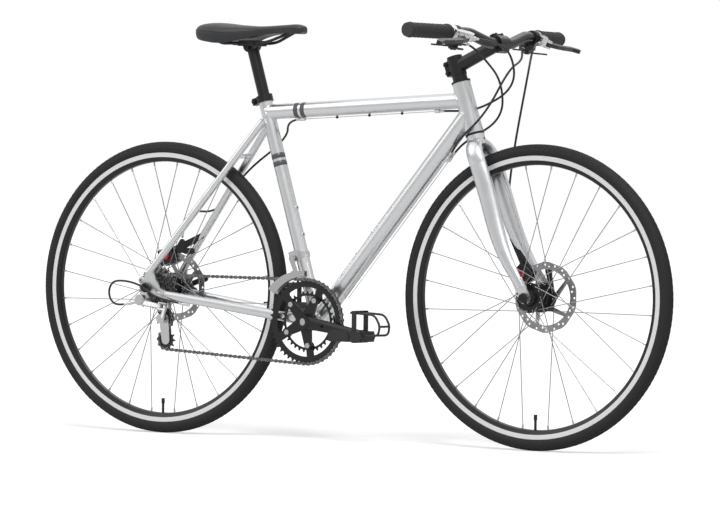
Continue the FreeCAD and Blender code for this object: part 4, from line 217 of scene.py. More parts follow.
class BikeColours(bpy.types.PropertyGroup):
    """Colours of the finishes."""

    silver: colour_setting("Frame Silver", "Bare brushed alloy of the frame", (0.74, 0.75, 0.76))
    stripe: colour_setting("Frame Stripe", "Plain grey bands on the tubes", (0.10, 0.10, 0.11))
    black: colour_setting("Black Finish", "Satin black of the metal parts", (0.014, 0.014, 0.015))
    rubber: colour_setting("Tyre Rubber", "Black rubber of the tyres", (0.011, 0.011, 0.012))
    grip: colour_setting("Grip Rubber", "Dark grey rubber of the grips", (0.042, 0.043, 0.046))
    saddle: colour_setting("Saddle Cover", "Dark cover of the saddle", (0.022, 0.023, 0.026))
    dial: colour_setting("Brake Dial", "Red pad adjusting dial", (0.42, 0.02, 0.02))


# Material helpers

def start_material(name):
    """New material with its shader: material, tree and shader."""
    material = bpy.data.materials.new(name)
    material.use_nodes = True
    tree = material.node_tree
    return material, tree, tree.nodes["Principled BSDF"]


def object_place(tree, scale=(1.0, 1.0, 1.0), centre=(0.0, 0.0, 0.0)):
    """Object coordinates moved to a centre and scaled."""
    coords = tree.nodes.new("ShaderNodeTexCoord")
    mapping = tree.nodes.new("ShaderNodeMapping")
    mapping.vector_type = "TEXTURE"
    mapping.inputs["Location"].default_value = centre
    mapping.inputs["Scale"].default_value = [1.0 / value for value in scale]
    tree.links.new(coords.outputs["Object"], mapping.inputs["Vector"])
    return mapping.outputs["Vector"]


def noise(tree, vector, scale, detail=3.0, rough=0.55):
    """Noise value over a vector."""
    node = tree.nodes.new("ShaderNodeTexNoise")
    node.inputs["Scale"].default_value = scale
    node.inputs["Detail"].default_value = detail
    node.inputs["Roughness"].default_value = rough
    tree.links.new(vector, node.inputs["Vector"])
    return node.outputs["Fac"]


def cells(tree, vector, scale):
    """Distance inside a cell pattern."""
    node = tree.nodes.new("ShaderNodeTexVoronoi")
    node.inputs["Scale"].default_value = scale
    tree.links.new(vector, node.inputs["Vector"])
    return node.outputs["Distance"]


def math_node(tree, operation, first, second=0.0):
    """One sum on numbers or sockets."""
    node = tree.nodes.new("ShaderNodeMath")
    node.operation = operation
    for index, value in enumerate((first, second)):
        if isinstance(value, (int, float)):
            node.inputs[index].default_value = value
        else:
            tree.links.new(value, node.inputs[index])
    return node.outputs[0]


def spread(tree, value, low, high):
    """Value from 0 to 1 spread from low to high."""
    node = tree.nodes.new("ShaderNodeMapRange")
    node.inputs["To Min"].default_value = low
    node.inputs["To Max"].default_value = high
    tree.links.new(value, node.inputs["Value"])
    return node.outputs["Result"]


def step(tree, value, low, high):
    """0 below low, 1 above high, smooth between."""
    node = tree.nodes.new("ShaderNodeMapRange")
    node.interpolation_type = "SMOOTHSTEP"
    node.inputs["From Min"].default_value = low
    node.inputs["From Max"].default_value = high
    tree.links.new(value, node.inputs["Value"])
    return node.outputs["Result"]


def two_colours(tree, share, first, second):
    """Mix of two colours by a share."""
    node = tree.nodes.new("ShaderNodeMix")
    node.data_type = "RGBA"
    for socket, colour in ((node.inputs[6], first), (node.inputs[7], second)):
        if isinstance(colour, (tuple, list)):
            socket.default_value = colour
        else:
            tree.links.new(colour, socket)
    tree.links.new(share, node.inputs[0])
    return node.outputs[2]


def shaded(colour, share):
    """Colour made darker or lighter."""
    return tuple(min(1.0, value * share) for value in colour[:3]) + (1.0,)


def bump(tree, shader, height, strength, distance):
    """Bump on a shader."""
    node = tree.nodes.new("ShaderNodeBump")
    node.inputs["Strength"].default_value = strength
    node.inputs["Distance"].default_value = distance
    tree.links.new(height, node.inputs["Height"])
    tree.links.new(node.outputs["Normal"], shader.inputs["Normal"])


def radius_about(tree, centre):
    """Distance from an axle along Y."""
    vector = object_place(tree, centre=centre)
    split = tree.nodes.new("ShaderNodeSeparateXYZ")
    tree.links.new(vector, split.inputs[0])
    across = math_node(tree, "MULTIPLY", split.outputs["X"], split.outputs["X"])
    upward = math_node(tree, "MULTIPLY", split.outputs["Z"], split.outputs["Z"])
    return math_node(tree, "SQRT", math_node(tree, "ADD", across, upward))


def metal(name, colour, rough, grain=(60.0, 60.0, 60.0), change=0.10, metallic=1.0, coat=0.0, mark=0.02):
    """Metal with fine grain in its colour, gloss and surface."""
    material, tree, shader = start_material(name)
    fine = noise(tree, object_place(tree, scale=grain), 12.0, 4.0)
    wide = noise(tree, object_place(tree), 7.0, 2.0)
    both = math_node(tree, "ADD", math_node(tree, "MULTIPLY", fine, 0.6),
                     math_node(tree, "MULTIPLY", wide, 0.4))
    colour = tuple(colour)
    tree.links.new(two_colours(tree, both, shaded(colour, 1 - change), shaded(colour, 1 + change)),
                   shader.inputs["Base Color"])
    tree.links.new(spread(tree, fine, rough * 0.75, rough * 1.25), shader.inputs["Roughness"])
    shader.inputs["Metallic"].default_value = metallic
    shader.inputs["Coat Weight"].default_value = coat
    shader.inputs["Coat Roughness"].default_value = 0.12
    bump(tree, shader, fine, mark, 0.0004)
    return material


def moulded(name, colour, rough, size=900.0, depth=0.15):
    """Moulded plastic or rubber with a fine cell grain."""
    material, tree, shader = start_material(name)
    place = object_place(tree)
    grain = cells(tree, place, size)
    wide = noise(tree, place, 14.0, 3.0)
    colour = tuple(colour)
    tree.links.new(two_colours(tree, wide, shaded(colour, 0.8), shaded(colour, 1.25)),
                   shader.inputs["Base Color"])
    tree.links.new(spread(tree, wide, rough * 0.88, min(1.0, rough * 1.12)), shader.inputs["Roughness"])
    shader.inputs["Specular IOR Level"].default_value = 0.45
    bump(tree, shader, grain, depth, 0.0006)
    return material


def rim_finish(name, centre, colours):
    """Rim with a bright brake track over a black body."""
    material, tree, shader = start_material(name)
    radius = radius_about(tree, centre)
    track = step(tree, radius, *RIM_TRACK)
    rings = math_node(tree, "SINE", math_node(tree, "MULTIPLY", radius, 9000.0))
    dust = noise(tree, object_place(tree, scale=(40.0, 40.0, 40.0)), 6.0)
    bright = two_colours(tree, dust, (0.84, 0.84, 0.85, 1.0), (0.93, 0.93, 0.94, 1.0))
    tree.links.new(two_colours(tree, track, tuple(colours.black), bright), shader.inputs["Base Color"])
    tree.links.new(spread(tree, track, 0.30, 0.45), shader.inputs["Metallic"])
    tree.links.new(spread(tree, dust, 0.24, 0.40), shader.inputs["Roughness"])
    bump(tree, shader, math_node(tree, "MULTIPLY", rings, track), 0.05, 0.0002)
    return material


def tyre_finish(name, centre, colours):
    """Tyre rubber with fine moulded rings on the side walls."""
    material, tree, shader = start_material(name)
    radius = radius_about(tree, centre)
    rings = math_node(tree, "SINE", math_node(tree, "MULTIPLY", radius, 2600.0))
    side = math_node(tree, "SUBTRACT", 1.0, step(tree, radius, *TYRE_SHOULDER))
    dust = noise(tree, object_place(tree), 46.0, 5.0)
    colour = tuple(colours.rubber)
    tree.links.new(two_colours(tree, dust, shaded(colour, 0.7), shaded(colour, 1.5)),
                   shader.inputs["Base Color"])
    tree.links.new(spread(tree, dust, 0.55, 0.78), shader.inputs["Roughness"])
    shader.inputs["Specular IOR Level"].default_value = 0.4
    bump(tree, shader, math_node(tree, "MULTIPLY", rings, side), 0.25, 0.0004)
    return material


def rotor_finish(name, centre):
    """Steel brake disc with turned rings on the track."""
    material, tree, shader = start_material(name)
    radius = radius_about(tree, centre)
    rings = math_node(tree, "SINE", math_node(tree, "MULTIPLY", radius, 14000.0))
    track = step(tree, radius, *ROTOR_TRACK)
    stain = noise(tree, object_place(tree), 60.0, 3.0)
    tree.links.new(two_colours(tree, stain, (0.32, 0.32, 0.33, 1.0), (0.46, 0.46, 0.47, 1.0)),
                   shader.inputs["Base Color"])
    shader.inputs["Metallic"].default_value = 1.0
    tree.links.new(spread(tree, stain, 0.24, 0.42), shader.inputs["Roughness"])
    bump(tree, shader, math_node(tree, "MULTIPLY", rings, track), 0.08, 0.0002)
    return material


def axle_finish(name, edge, colours):
    """Steel axle whose ends past the dropouts are black."""
    material, tree, shader = start_material(name)
    split = tree.nodes.new("ShaderNodeSeparateXYZ")
    tree.links.new(object_place(tree), split.inputs[0])
    away = math_node(tree, "ABSOLUTE", split.outputs["Y"])
    ends = step(tree, away, edge - 0.0002, edge + 0.0002)
    stain = noise(tree, object_place(tree), 90.0)
    steel = two_colours(tree, stain, (0.42, 0.42, 0.43, 1.0), (0.58, 0.58, 0.59, 1.0))
    tree.links.new(two_colours(tree, ends, steel, tuple(colours.black)), shader.inputs["Base Color"])
    tree.links.new(spread(tree, ends, 1.0, 0.3), shader.inputs["Metallic"])
    tree.links.new(spread(tree, stain, 0.26, 0.40), shader.inputs["Roughness"])
    return material


def cover_finish(name, colour):
    """Saddle cover: fine leather grain with a soft sheen."""
    material, tree, shader = start_material(name)
    place = object_place(tree)
    grain = cells(tree, place, 620.0)
    pores = noise(tree, place, 900.0, 3.0)
    wide = noise(tree, place, 18.0, 3.0)
    colour = tuple(colour)
    tree.links.new(two_colours(tree, wide, shaded(colour, 0.75), shaded(colour, 1.35)),
                   shader.inputs["Base Color"])
    tree.links.new(spread(tree, wide, 0.42, 0.58), shader.inputs["Roughness"])
    shader.inputs["Sheen Weight"].default_value = 0.08
    height = math_node(tree, "ADD", math_node(tree, "MULTIPLY", grain, 0.7),
                       math_node(tree, "MULTIPLY", pores, 0.3))
    bump(tree, shader, height, 0.18, 0.0006)
    return material


# Mesh helpers

def mesh_object(name, mesh, body, material=None):
    """Object for a finished mesh, riding on a body."""
    piece = bpy.data.objects.new(name, mesh)
    bpy.context.scene.collection.objects.link(piece)
    if material is not None:
        mesh.materials.clear()
        mesh.materials.append(material)
    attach(piece, body)
    return piece


def smooth(mesh):
    """Smooth shading on every face."""
    for face in mesh.polygons:
        face.use_smooth = True
    return mesh


def joined(name, meshes):
    """One mesh from several."""
    work = bmesh.new()
    for mesh in meshes:
        work.from_mesh(mesh)
    whole = bpy.data.meshes.new(name)
    work.to_mesh(whole)
    work.free()
    for mesh in meshes:
        bpy.data.meshes.remove(mesh)
    return whole


def evaluated_mesh(piece):
    """Plain mesh of an object with its modifiers or its curve."""
    graph = bpy.context.evaluated_depsgraph_get()
    return bpy.data.meshes.new_from_object(piece.evaluated_get(graph), depsgraph=graph)


def stood_on(origin, axis):
    """Matrix whose Z axis runs along an axis from an origin."""
    axis = Vector(axis).normalized()
    turn = Vector((0.0, 0.0, 1.0)).rotation_difference(axis).to_matrix().to_4x4()
    return Matrix.Translation(origin) @ turn


def skin(name, rings, closed=False):
    """Mesh through rings of points, capped at both ends unless the last ring meets the first."""
    work = bmesh.new()
    loops = [[work.verts.new(point) for point in ring] for ring in rings]
    pairs = list(zip(loops, loops[1:]))
    if closed:
        pairs.append((loops[-1], loops[0]))
    for low, high in pairs:
        for index in range(len(low)):
            after = (index + 1) % len(low)
            work.faces.new((low[index], low[after], high[after], high[index]))
    if not closed:
        work.faces.new(list(reversed(loops[0])))
        work.faces.new(loops[-1])
    bmesh.ops.recalc_face_normals(work, faces=work.faces)
    mesh = bpy.data.meshes.new(name)
    work.to_mesh(mesh)
    work.free()
    return mesh


def circle(middle, first, second, radius, count):
    """Points round a circle, given two directions square to each other."""
    turns = [2 * math.pi * index / count for index in range(count)]
    return [middle + (first * math.cos(turn) + second * math.sin(turn)) * radius for turn in turns]


def lathe(profile, origin, axis, steps=24):
    """Mesh turned from a profile of (radius, height) pairs, closed at both ends."""
    place = stood_on(origin, axis)
    first = Vector((1.0, 0.0, 0.0))
    second = Vector((0.0, 1.0, 0.0))
    rings = []
    for radius, height in profile:
        ring = circle(Vector((0.0, 0.0, height)), first, second, radius, steps)
        rings.append([place @ point for point in ring])
    return skin("turned", rings)


def tube_along(points, radius, closed=False, sides=10):
    """Round tube along points."""
    count = len(points)
    rings = []
    guess = None
    for index, point in enumerate(points):
        before = points[(index - 1) % count] if closed or index else points[0]
        after = points[(index + 1) % count] if closed or index < count - 1 else points[-1]
        run = (after - before).normalized()
        if guess is None:
            guess = Vector((0.0, 0.0, 1.0)) if abs(run.z) < 0.9 else Vector((1.0, 0.0, 0.0))
        guess = (guess - run * guess.dot(run)).normalized()
        rings.append(circle(point, guess, run.cross(guess), radius, sides))
    return smooth(skin("tube", rings, closed))


# Geometry Nodes helpers

def new_tree(name, inputs):
    """Geometry tree with named inputs: the tree and its input sockets."""
    tree = bpy.data.node_groups.new(name, "GeometryNodeTree")
    tree.interface.new_socket("Geometry", in_out="OUTPUT", socket_type="NodeSocketGeometry")
    for label, kind in inputs:
        tree.interface.new_socket(label, in_out="INPUT", socket_type="NodeSocket" + kind)
    return tree, tree.nodes.new("NodeGroupInput").outputs


def end_tree(tree, geometry, finish):
    """Make the instances of a tree real and give them a finish."""
    real = tree.nodes.new("GeometryNodeRealizeInstances")
    paint = tree.nodes.new("GeometryNodeSetMaterial")
    tree.links.new(geometry, real.inputs["Geometry"])
    tree.links.new(real.outputs["Geometry"], paint.inputs["Geometry"])
    tree.links.new(finish, paint.inputs["Material"])
    tree.links.new(paint.outputs["Geometry"], tree.nodes.new("NodeGroupOutput").inputs["Geometry"])
    return tree


def combined(tree, x=None, y=None, z=None):
    """Vector from number sockets."""
    node = tree.nodes.new("ShaderNodeCombineXYZ")
    for socket, value in zip(node.inputs, (x, y, z)):
        if value is not None:
            tree.links.new(value, socket)
    return node.outputs[0]


def laid_cylinder(tree, sides, radius, depth, turn, move=None):
    """Cylinder that is turned and then moved."""
    piece = tree.nodes.new("GeometryNodeMeshCylinder")
    piece.inputs["Vertices"].default_value = sides
    tree.links.new(radius, piece.inputs["Radius"])
    tree.links.new(depth, piece.inputs["Depth"])
    place = tree.nodes.new("GeometryNodeTransform")
    place.inputs["Rotation"].default_value = turn
    tree.links.new(piece.outputs["Mesh"], place.inputs["Geometry"])
    if move is not None:
        tree.links.new(move, place.inputs["Translation"])
    return place.outputs["Geometry"]


def copies_on(tree, points, piece, rotation):
    """Copies of a piece on points."""
    copies = tree.nodes.new("GeometryNodeInstanceOnPoints")
    tree.links.new(points, copies.inputs["Points"])
    tree.links.new(piece, copies.inputs["Instance"])
    tree.links.new(rotation, copies.inputs["Rotation"])
    return copies.outputs["Instances"]


def ring_tree(name, shape):
    """Tree that sets like pieces round a ring about the Y axis: blocks or round pins."""
    tree, given = new_tree(name, (("Count", "Int"), ("Ring Radius", "Float"), ("Across", "Float"),
                                  ("Turn", "Float"), ("Lean", "Float"), ("Skew", "Float"),
                                  ("Piece Size", "Vector"), ("Finish", "Material")))
    add = tree.nodes.new
    link = tree.links.new
    index = add("GeometryNodeInputIndex").outputs[0]
    share = math_node(tree, "DIVIDE", index, given["Count"])
    angle = math_node(tree, "ADD", math_node(tree, "MULTIPLY", share, 2 * math.pi), given["Turn"])
    x = math_node(tree, "MULTIPLY", math_node(tree, "COSINE", angle), given["Ring Radius"])
    z = math_node(tree, "MULTIPLY", math_node(tree, "SINE", angle), given["Ring Radius"])
    points = add("GeometryNodePoints")
    link(given["Count"], points.inputs["Count"])
    link(combined(tree, x, given["Across"], z), points.inputs["Position"])
    if shape == "block":
        block = add("GeometryNodeMeshCube")
        link(given["Piece Size"], block.inputs["Size"])
        piece = block.outputs["Mesh"]
    else:
        sizes = add("ShaderNodeSeparateXYZ")
        link(given["Piece Size"], sizes.inputs[0])
        piece = laid_cylinder(tree, 10, sizes.outputs["Y"], sizes.outputs["X"], (0.0, math.pi / 2, 0.0))
    facing = combined(tree, None, math_node(tree, "MULTIPLY", angle, -1.0))
    current = copies_on(tree, points.outputs[0], piece, facing)
    for label, axis in (("Lean", "z"), ("Skew", "x")):
        turn = add("GeometryNodeRotateInstances")
        turn.inputs["Local Space"].default_value = True
        link(current, turn.inputs["Instances"])
        link(combined(tree, **{axis: given[label]}), turn.inputs["Rotation"])
        current = turn.outputs["Instances"]
    return end_tree(tree, current, given["Finish"])


def tree_mesh(tree, values, base=None):
    """Plain mesh that a tree makes for some input values, on the points of a base mesh if one is given."""
    if base is None:
        base = bpy.data.meshes.new("holder")
    holder = bpy.data.objects.new("holder", base)
    bpy.context.scene.collection.objects.link(holder)
    modifier = holder.modifiers.new("tree", "NODES")
    modifier.node_group = tree
    for item in tree.interface.items_tree:
        if item.in_out == "INPUT" and item.name in values:
            modifier[item.identifier] = values[item.name]
    mesh = evaluated_mesh(holder)
    holder.modifiers.clear()
    bpy.data.objects.remove(holder)
    bpy.data.meshes.remove(base)
    return mesh


# Chain sizes, in metres, and the limits for reading its links
CHAIN_SIZES = {"Pitch": 0.0127, "Plate Radius": 0.0040, "Waist": 0.0042, "Plate Thickness": 0.0008,
               "Pin Radius": 0.0018}
PIN_PLATES = 9.2
FLAT_LIMIT = 0.00002
LEAST_UNEVEN = 0.3
SAME_LINK = 0.003
LEAST_LINKS = 100
MOST_LINKS = 124


def chain_islands():
    """Corner points of each separate surface of the chain's solids."""
    work = bmesh.new()
    work.from_mesh(NODES["chain"].data)
    left = set(work.verts)
    islands = []
    while left:
        queue = [left.pop()]
        island = []
        while queue:
            vertex = queue.pop()
            island.append(vertex.co.copy())
            for edge in vertex.link_edges:
                other = edge.other_vert(vertex)
                if other in left:
                    left.remove(other)
                    queue.append(other)
        islands.append(island)
    work.free()
    return islands


def chain_links():
    """Middle, turn and half gap of each link's plates, read from the plates' flat faces."""
    islands = chain_islands()
    across = [point.y for island in islands for point in island]
    chain_y = (min(across) + max(across)) / 2
    links = []
    for island in islands:
        depths = [point.y for point in island]
        if max(depths) - min(depths) > FLAT_LIMIT:
            continue
        count = len(island)
        x = sum(point.x for point in island) / count
        z = sum(point.z for point in island) / count
        wide = sum((point.x - x) ** 2 for point in island)
        tall = sum((point.z - z) ** 2 for point in island)
        both = sum((point.x - x) * (point.z - z) for point in island)
        if math.hypot(wide - tall, 2 * both) / (wide + tall) < LEAST_UNEVEN:
            continue
        turn = 0.5 * math.atan2(2 * both, wide - tall)
        gap = abs(sum(depths) / count - chain_y)
        for link in links:
            if math.hypot(link[0] - x, link[1] - z) < SAME_LINK:
                link[3] = max(link[3], gap)
                break
        else:
            links.append([x, z, turn, gap])
    return chain_y, links


def chain_tree():
    """Tree that sets waisted plates and a pin at each link point."""
    tree, given = new_tree("chain links", (("Geometry", "Geometry"), ("Pitch", "Float"),
                                           ("Plate Radius", "Float"), ("Waist", "Float"),
                                           ("Plate Thickness", "Float"), ("Pin Radius", "Float"),
                                           ("Finish", "Material")))
    add = tree.nodes.new
    link = tree.links.new

    def disc(radius, depth, away):
        return laid_cylinder(tree, 16, radius, depth, (math.pi / 2, 0.0, 0.0), combined(tree, away))

    def named(label, share):
        node = add("GeometryNodeInputNamedAttribute")
        node.data_type = "FLOAT"
        node.inputs["Name"].default_value = label
        return combined(tree, None, math_node(tree, "MULTIPLY", node.outputs["Attribute"], share))

    thick = given["Plate Thickness"]
    half = math_node(tree, "MULTIPLY", given["Pitch"], 0.5)
    plate = add("GeometryNodeJoinGeometry")
    link(disc(given["Plate Radius"], thick, half), plate.inputs[0])
    link(disc(given["Plate Radius"], thick, math_node(tree, "MULTIPLY", half, -1.0)), plate.inputs[0])
    bar = add("GeometryNodeMeshCube")
    link(combined(tree, given["Pitch"], thick, given["Waist"]), bar.inputs["Size"])
    link(bar.outputs["Mesh"], plate.inputs[0])
    whole = add("GeometryNodeJoinGeometry")
    turned = named("turn", -1.0)
    for side in (-1.0, 1.0):
        moved = add("GeometryNodeSetPosition")
        link(given["Geometry"], moved.inputs["Geometry"])
        link(named("gap", side), moved.inputs["Offset"])
        link(copies_on(tree, moved.outputs["Geometry"], plate.outputs[0], turned), whole.inputs[0])
    pin = disc(given["Pin Radius"], math_node(tree, "MULTIPLY", thick, PIN_PLATES), half)
    link(copies_on(tree, given["Geometry"], pin, turned), whole.inputs[0])
    return end_tree(tree, whole.outputs[0], given["Finish"])


# Cable helpers

def route_curve(name, route):
    """Smooth curve with the route's points as its control points."""
    curve = bpy.data.curves.new(name, "CURVE")
    curve.dimensions = "3D"
    spline = curve.splines.new("NURBS")
    spline.points.add(len(route) - 1)
    for point, place in zip(spline.points, route):
        point.co = (place[0], place[1], place[2], 1.0)
    spline.order_u = 3
    spline.use_endpoint_u = True
    spline.resolution_u = 16
    return curve


def route_points(name, route):
    """Points along the smooth line of a route."""
    holder = bpy.data.objects.new(name, route_curve(name, route))
    bpy.context.scene.collection.objects.link(holder)
    mesh = evaluated_mesh(holder)
    points = [vertex.co.copy() for vertex in mesh.vertices]
    curve = holder.data
    bpy.data.objects.remove(holder)
    bpy.data.curves.remove(curve)
    bpy.data.meshes.remove(mesh)
    return points


def ferrule(points, at_end, radius):
    """Metal end cap on a housing, at one end of its line."""
    tip = points[-1] if at_end else points[0]
    near = points[-4] if at_end else points[3]
    run = (near - tip).normalized()
    profile = ((radius * 0.7, -0.0005), (radius * 1.16, 0.0), (radius * 1.22, 0.004), (radius * 1.22, 0.011),
               (radius * 1.05, 0.0125), (radius * 0.9, 0.0126))
    return smooth(lathe(profile, tip, run, 16))


# Operators

class BIKE_OT_finishes(bpy.types.Operator):
    """Give every metal, plastic and rubber part of the bike its finish"""

    bl_idname = "bike.finishes"
    bl_label = "Finishes"

    def execute(self, context):
        colours = context.scene.bike_colours
        silver = metal("brushed frame alloy", colours.silver, 0.30, grain=(3.0, 3.0, 3.0), change=0.02,
                       coat=0.25, mark=0.0)
        black = metal("satin black alloy", colours.black, 0.36, change=0.18, metallic=0.35, coat=0.1)
        polished = metal("polished alloy", (0.66, 0.66, 0.67), 0.20, change=0.08)
        steel = metal("bright steel", (0.56, 0.56, 0.57), 0.26, change=0.10)
        chain = metal("chain steel", (0.24, 0.23, 0.22), 0.34, change=0.25)
        sprockets = metal("dark sprocket steel", (0.34, 0.34, 0.34), 0.34, change=0.25)
        plastic = moulded("black plastic", (0.022, 0.022, 0.023), 0.48)
        rubber = moulded("grip rubber", tuple(colours.grip)[:3], 0.70, size=1400.0)
        housing = moulded("cable housing", (0.012, 0.012, 0.013), 0.34, size=1500.0, depth=0.05)
        finishes = {
            silver: ("main_frame", "rear_stays", "frame_fittings", "fork_crown", "fork_legs"),
            black: ("frame_bearings", "stem", "stem_faceplate", "handlebar", "right_brake_lever",
                    "left_brake_lever", "front_hub", "rear_hub", "front_release_lever", "rear_release_lever",
                    "front_caliper", "rear_caliper", "chainrings", "crank_arms", "seatpost", "seat_clamp",
                    "front_caliper_arm", "rear_caliper_arm", "saddle_rails"),
            polished: ("brake_lever_brackets", "rear_derailleur", "derailleur_links", "derailleur_knuckle",
                       "derailleur_cage", "front_derailleur"),
            steel: ("chainring_bolts", "front_derailleur_cage"),
            metal("spoke steel", (0.34, 0.34, 0.35), 0.34): ("front_spokes", "rear_spokes"),
            chain: ("chain",),
            sprockets: ("cassette",),
            plastic: ("shifter_pods", "right_thumb_lever", "left_thumb_lever", "right_release_trigger",
                      "left_release_trigger", "right_pedal", "left_pedal", "right_toe_clip", "left_toe_clip",
                      "guide_pulley", "tension_pulley"),
            rubber: ("grips",),
            housing: ("frame_cables", "steering_housings", "front_brake_housing"),
            cover_finish("saddle cover", colours.saddle): ("saddle",),
        }
        for end, axle in (("front", FRONT_AXLE), ("rear", REAR_AXLE)):
            finishes[rim_finish(end + " rim", axle, colours)] = (end + "_rim",)
            finishes[tyre_finish(end + " tyre rubber", axle, colours)] = (end + "_tyre",)
            finishes[rotor_finish(end + " disc steel", axle)] = (end + "_rotor",)
            finishes[axle_finish(end + " axle steel", AXLE_EDGES[end], colours)] = (end + "_axle",)
        painted = set()
        for finish, names in finishes.items():
            for name in names:
                node = NODES[name]
                node.data.materials.clear()
                node.data.materials.append(finish)
                painted.add(name)
        missed = set(NODES) - painted
        if missed:
            raise RuntimeError("parts without a finish: " + ", ".join(sorted(missed)))
        return {"FINISHED"}


class BIKE_OT_treads(bpy.types.Operator):
    """Set rows of slanted tread blocks round both tyres"""

    bl_idname = "bike.treads"
    bl_label = "Tyre Treads"

    def execute(self, context):
        sizes = context.scene.bike_sizes
        tree = ring_tree("tread blocks", "block")
        for body, axle, finish in (("front_wheel", FRONT_AXLE, "front tyre rubber"),
                                   ("rear_wheel", REAR_AXLE, "rear tyre rubber")):
            rows = []
            for row, degrees in enumerate((-50, -34, -18, -5, 5, 18, 34, 50)):
                lean = math.radians(degrees)
                middle = abs(degrees) < 10
                thick = 0.0018
                reach = TYRE_ROUND + sizes.tread_height - thick / 2
                rows.append(tree_mesh(tree, {
                    "Count": sizes.tread_count,
                    "Ring Radius": TYRE_MIDDLE + reach * math.cos(lean),
                    "Across": reach * math.sin(lean),
                    "Turn": math.pi / sizes.tread_count * (row % 2),
                    "Lean": lean,
                    "Skew": math.radians(8 if middle else 24) * (1 if degrees > 0 else -1),
                    "Piece Size": (thick, 0.0022 if middle else 0.0029, 0.0115 if middle else 0.0098),
                    "Finish": bpy.data.materials[finish],
                }))
            tread = joined(body + " tread", rows)
            tread.transform(Matrix.Translation(axle))
            mesh_object(body + "_tread", tread, body, bpy.data.materials[finish])
        return {"FINISHED"}


class BIKE_OT_nipples(bpy.types.Operator):
    """Set the spoke nipples in both rims"""

    bl_idname = "bike.nipples"
    bl_label = "Spoke Nipples"

    def execute(self, context):
        sizes = context.scene.bike_sizes
        tree = ring_tree("spoke nipples", "pin")
        steel = bpy.data.materials["bright steel"]
        for body, axle in (("front_wheel", FRONT_AXLE), ("rear_wheel", REAR_AXLE)):
            pins = tree_mesh(tree, {
                "Count": sizes.spoke_count,
                "Ring Radius": RIM_NOSE - sizes.nipple_length / 2 + 0.001,
                "Across": 0.0,
                "Turn": -math.pi / 2 + math.pi / sizes.spoke_count,
                "Lean": 0.0,
                "Skew": 0.0,
                "Piece Size": (sizes.nipple_length, 0.0021, 0.0021),
                "Finish": steel,
            })
            pins.transform(Matrix.Translation(axle))
            mesh_object(body + "_nipples", pins, body, steel)
        return {"FINISHED"}


class BIKE_OT_grips(bpy.types.Operator):
    """Cover both grips with rows of raised pads, with end rings and end plugs"""

    bl_idname = "bike.grips"
    bl_label = "Grips"

    def execute(self, context):
        sizes = context.scene.bike_sizes
        tree = ring_tree("grip pads", "block")
        rubber = bpy.data.materials["grip rubber"]
        dark = moulded("dark grip inlay", (0.018, 0.018, 0.020), 0.62, size=1400.0)
        length = (GRIP_END - BAR_END).length
        for side, mirror in (("right", 1.0), ("left", -1.0)):
            end = Vector((BAR_END.x, BAR_END.y * mirror, BAR_END.z))
            inner = Vector((GRIP_END.x, GRIP_END.y * mirror, GRIP_END.z))
            turn = Vector((0.0, 1.0, 0.0)).rotation_difference(inner - end).to_matrix().to_4x4()
            place = Matrix.Translation(end) @ turn
            rows = []
            for row in range(sizes.grip_rows):
                along = length * (0.12 + 0.76 * row / (sizes.grip_rows - 1))
                rows.append(tree_mesh(tree, {
                    "Count": sizes.grip_pads,
                    "Ring Radius": sizes.grip_radius,
                    "Across": along,
                    "Turn": math.pi / sizes.grip_pads * (row % 2),
                    "Lean": 0.0,
                    "Skew": math.radians(45),
                    "Piece Size": (0.0012, 0.0034, 0.0034),
                    "Finish": dark,
                }))
            pads = joined(side + " grip pads", rows)
            pads.transform(place)
            mesh_object(side + "_grip_pads", pads, "steerer", dark)
            way = (inner - end).normalized()
            radius = sizes.grip_radius
            rings = []
            for along in (0.004, length - 0.010):
                profile = ((radius - 0.001, 0.0), (radius + 0.0012, 0.0006), (radius + 0.0016, 0.003),
                           (radius + 0.0012, 0.0054), (radius - 0.001, 0.006))
                rings.append(lathe(profile, end + way * along, way, 32))
            cap = ((radius * 0.55, -0.0012), (radius * 0.86, -0.0010), (radius * 0.93, -0.0002),
                   (radius * 0.93, 0.001))
            rings.append(lathe(cap, end, way, 32))
            trim = smooth(joined(side + " grip trim", rings))
            mesh_object(side + "_grip_trim", trim, "steerer", dark)
        return {"FINISHED"}


def between(stations, share):
    """Row of station values at a share of the length, on a smooth line through the stations."""
    last = len(stations) - 1
    spot = 0
    while spot < last - 1 and stations[spot + 1][0] < share:
        spot += 1
    before = stations[max(spot - 1, 0)]
    low = stations[spot]
    high = stations[spot + 1]
    after = stations[min(spot + 2, last)]
    part = (share - low[0]) / (high[0] - low[0])
    row = []
    for index in range(1, len(low)):
        low_slope = (high[index] - before[index]) / max(high[0] - before[0], 1e-6) * (high[0] - low[0])
        high_slope = (after[index] - low[index]) / max(after[0] - low[0], 1e-6) * (high[0] - low[0])
        square = part * part
        cube = square * part
        row.append((2 * cube - 3 * square + 1) * low[index] + (cube - 2 * square + part) * low_slope
                   + (3 * square - 2 * cube) * high[index] + (cube - square) * high_slope)
    return row


def saddle_outline(share, length):
    """Points across the saddle at one place: right skirt, over the crown, left skirt, underside."""
    half, under, skirt, crown = between(SADDLE_STATIONS, share)
    x = SADDLE_TAIL + length * share
    rows = (
        (0.93, skirt, 0.0), (1.00, skirt, 0.22), (1.02, skirt, 0.45), (0.97, skirt, 0.66),
        (0.84, skirt, 0.83), (0.62, skirt, 0.94), (0.34, skirt, 0.985), (0.0, skirt, 1.0),
    )
    points = []
    for wide, low, rise in rows:
        points.append(Vector((x, -half * wide * 0.001, SADDLE_FOOT + (low + (crown - low) * rise) * 0.001)))
    points += [Vector((x, -point.y, point.z)) for point in reversed(points[:-1])]
    inside = ((0.86, skirt + 0.5), (0.70, under - 0.5), (0.38, under), (0.0, under))
    below = [Vector((x, half * wide * 0.001, SADDLE_FOOT + low * 0.001)) for wide, low in inside]
    points += below
    points += [Vector((x, -point.y, point.z)) for point in reversed(below[:-1])]
    return points


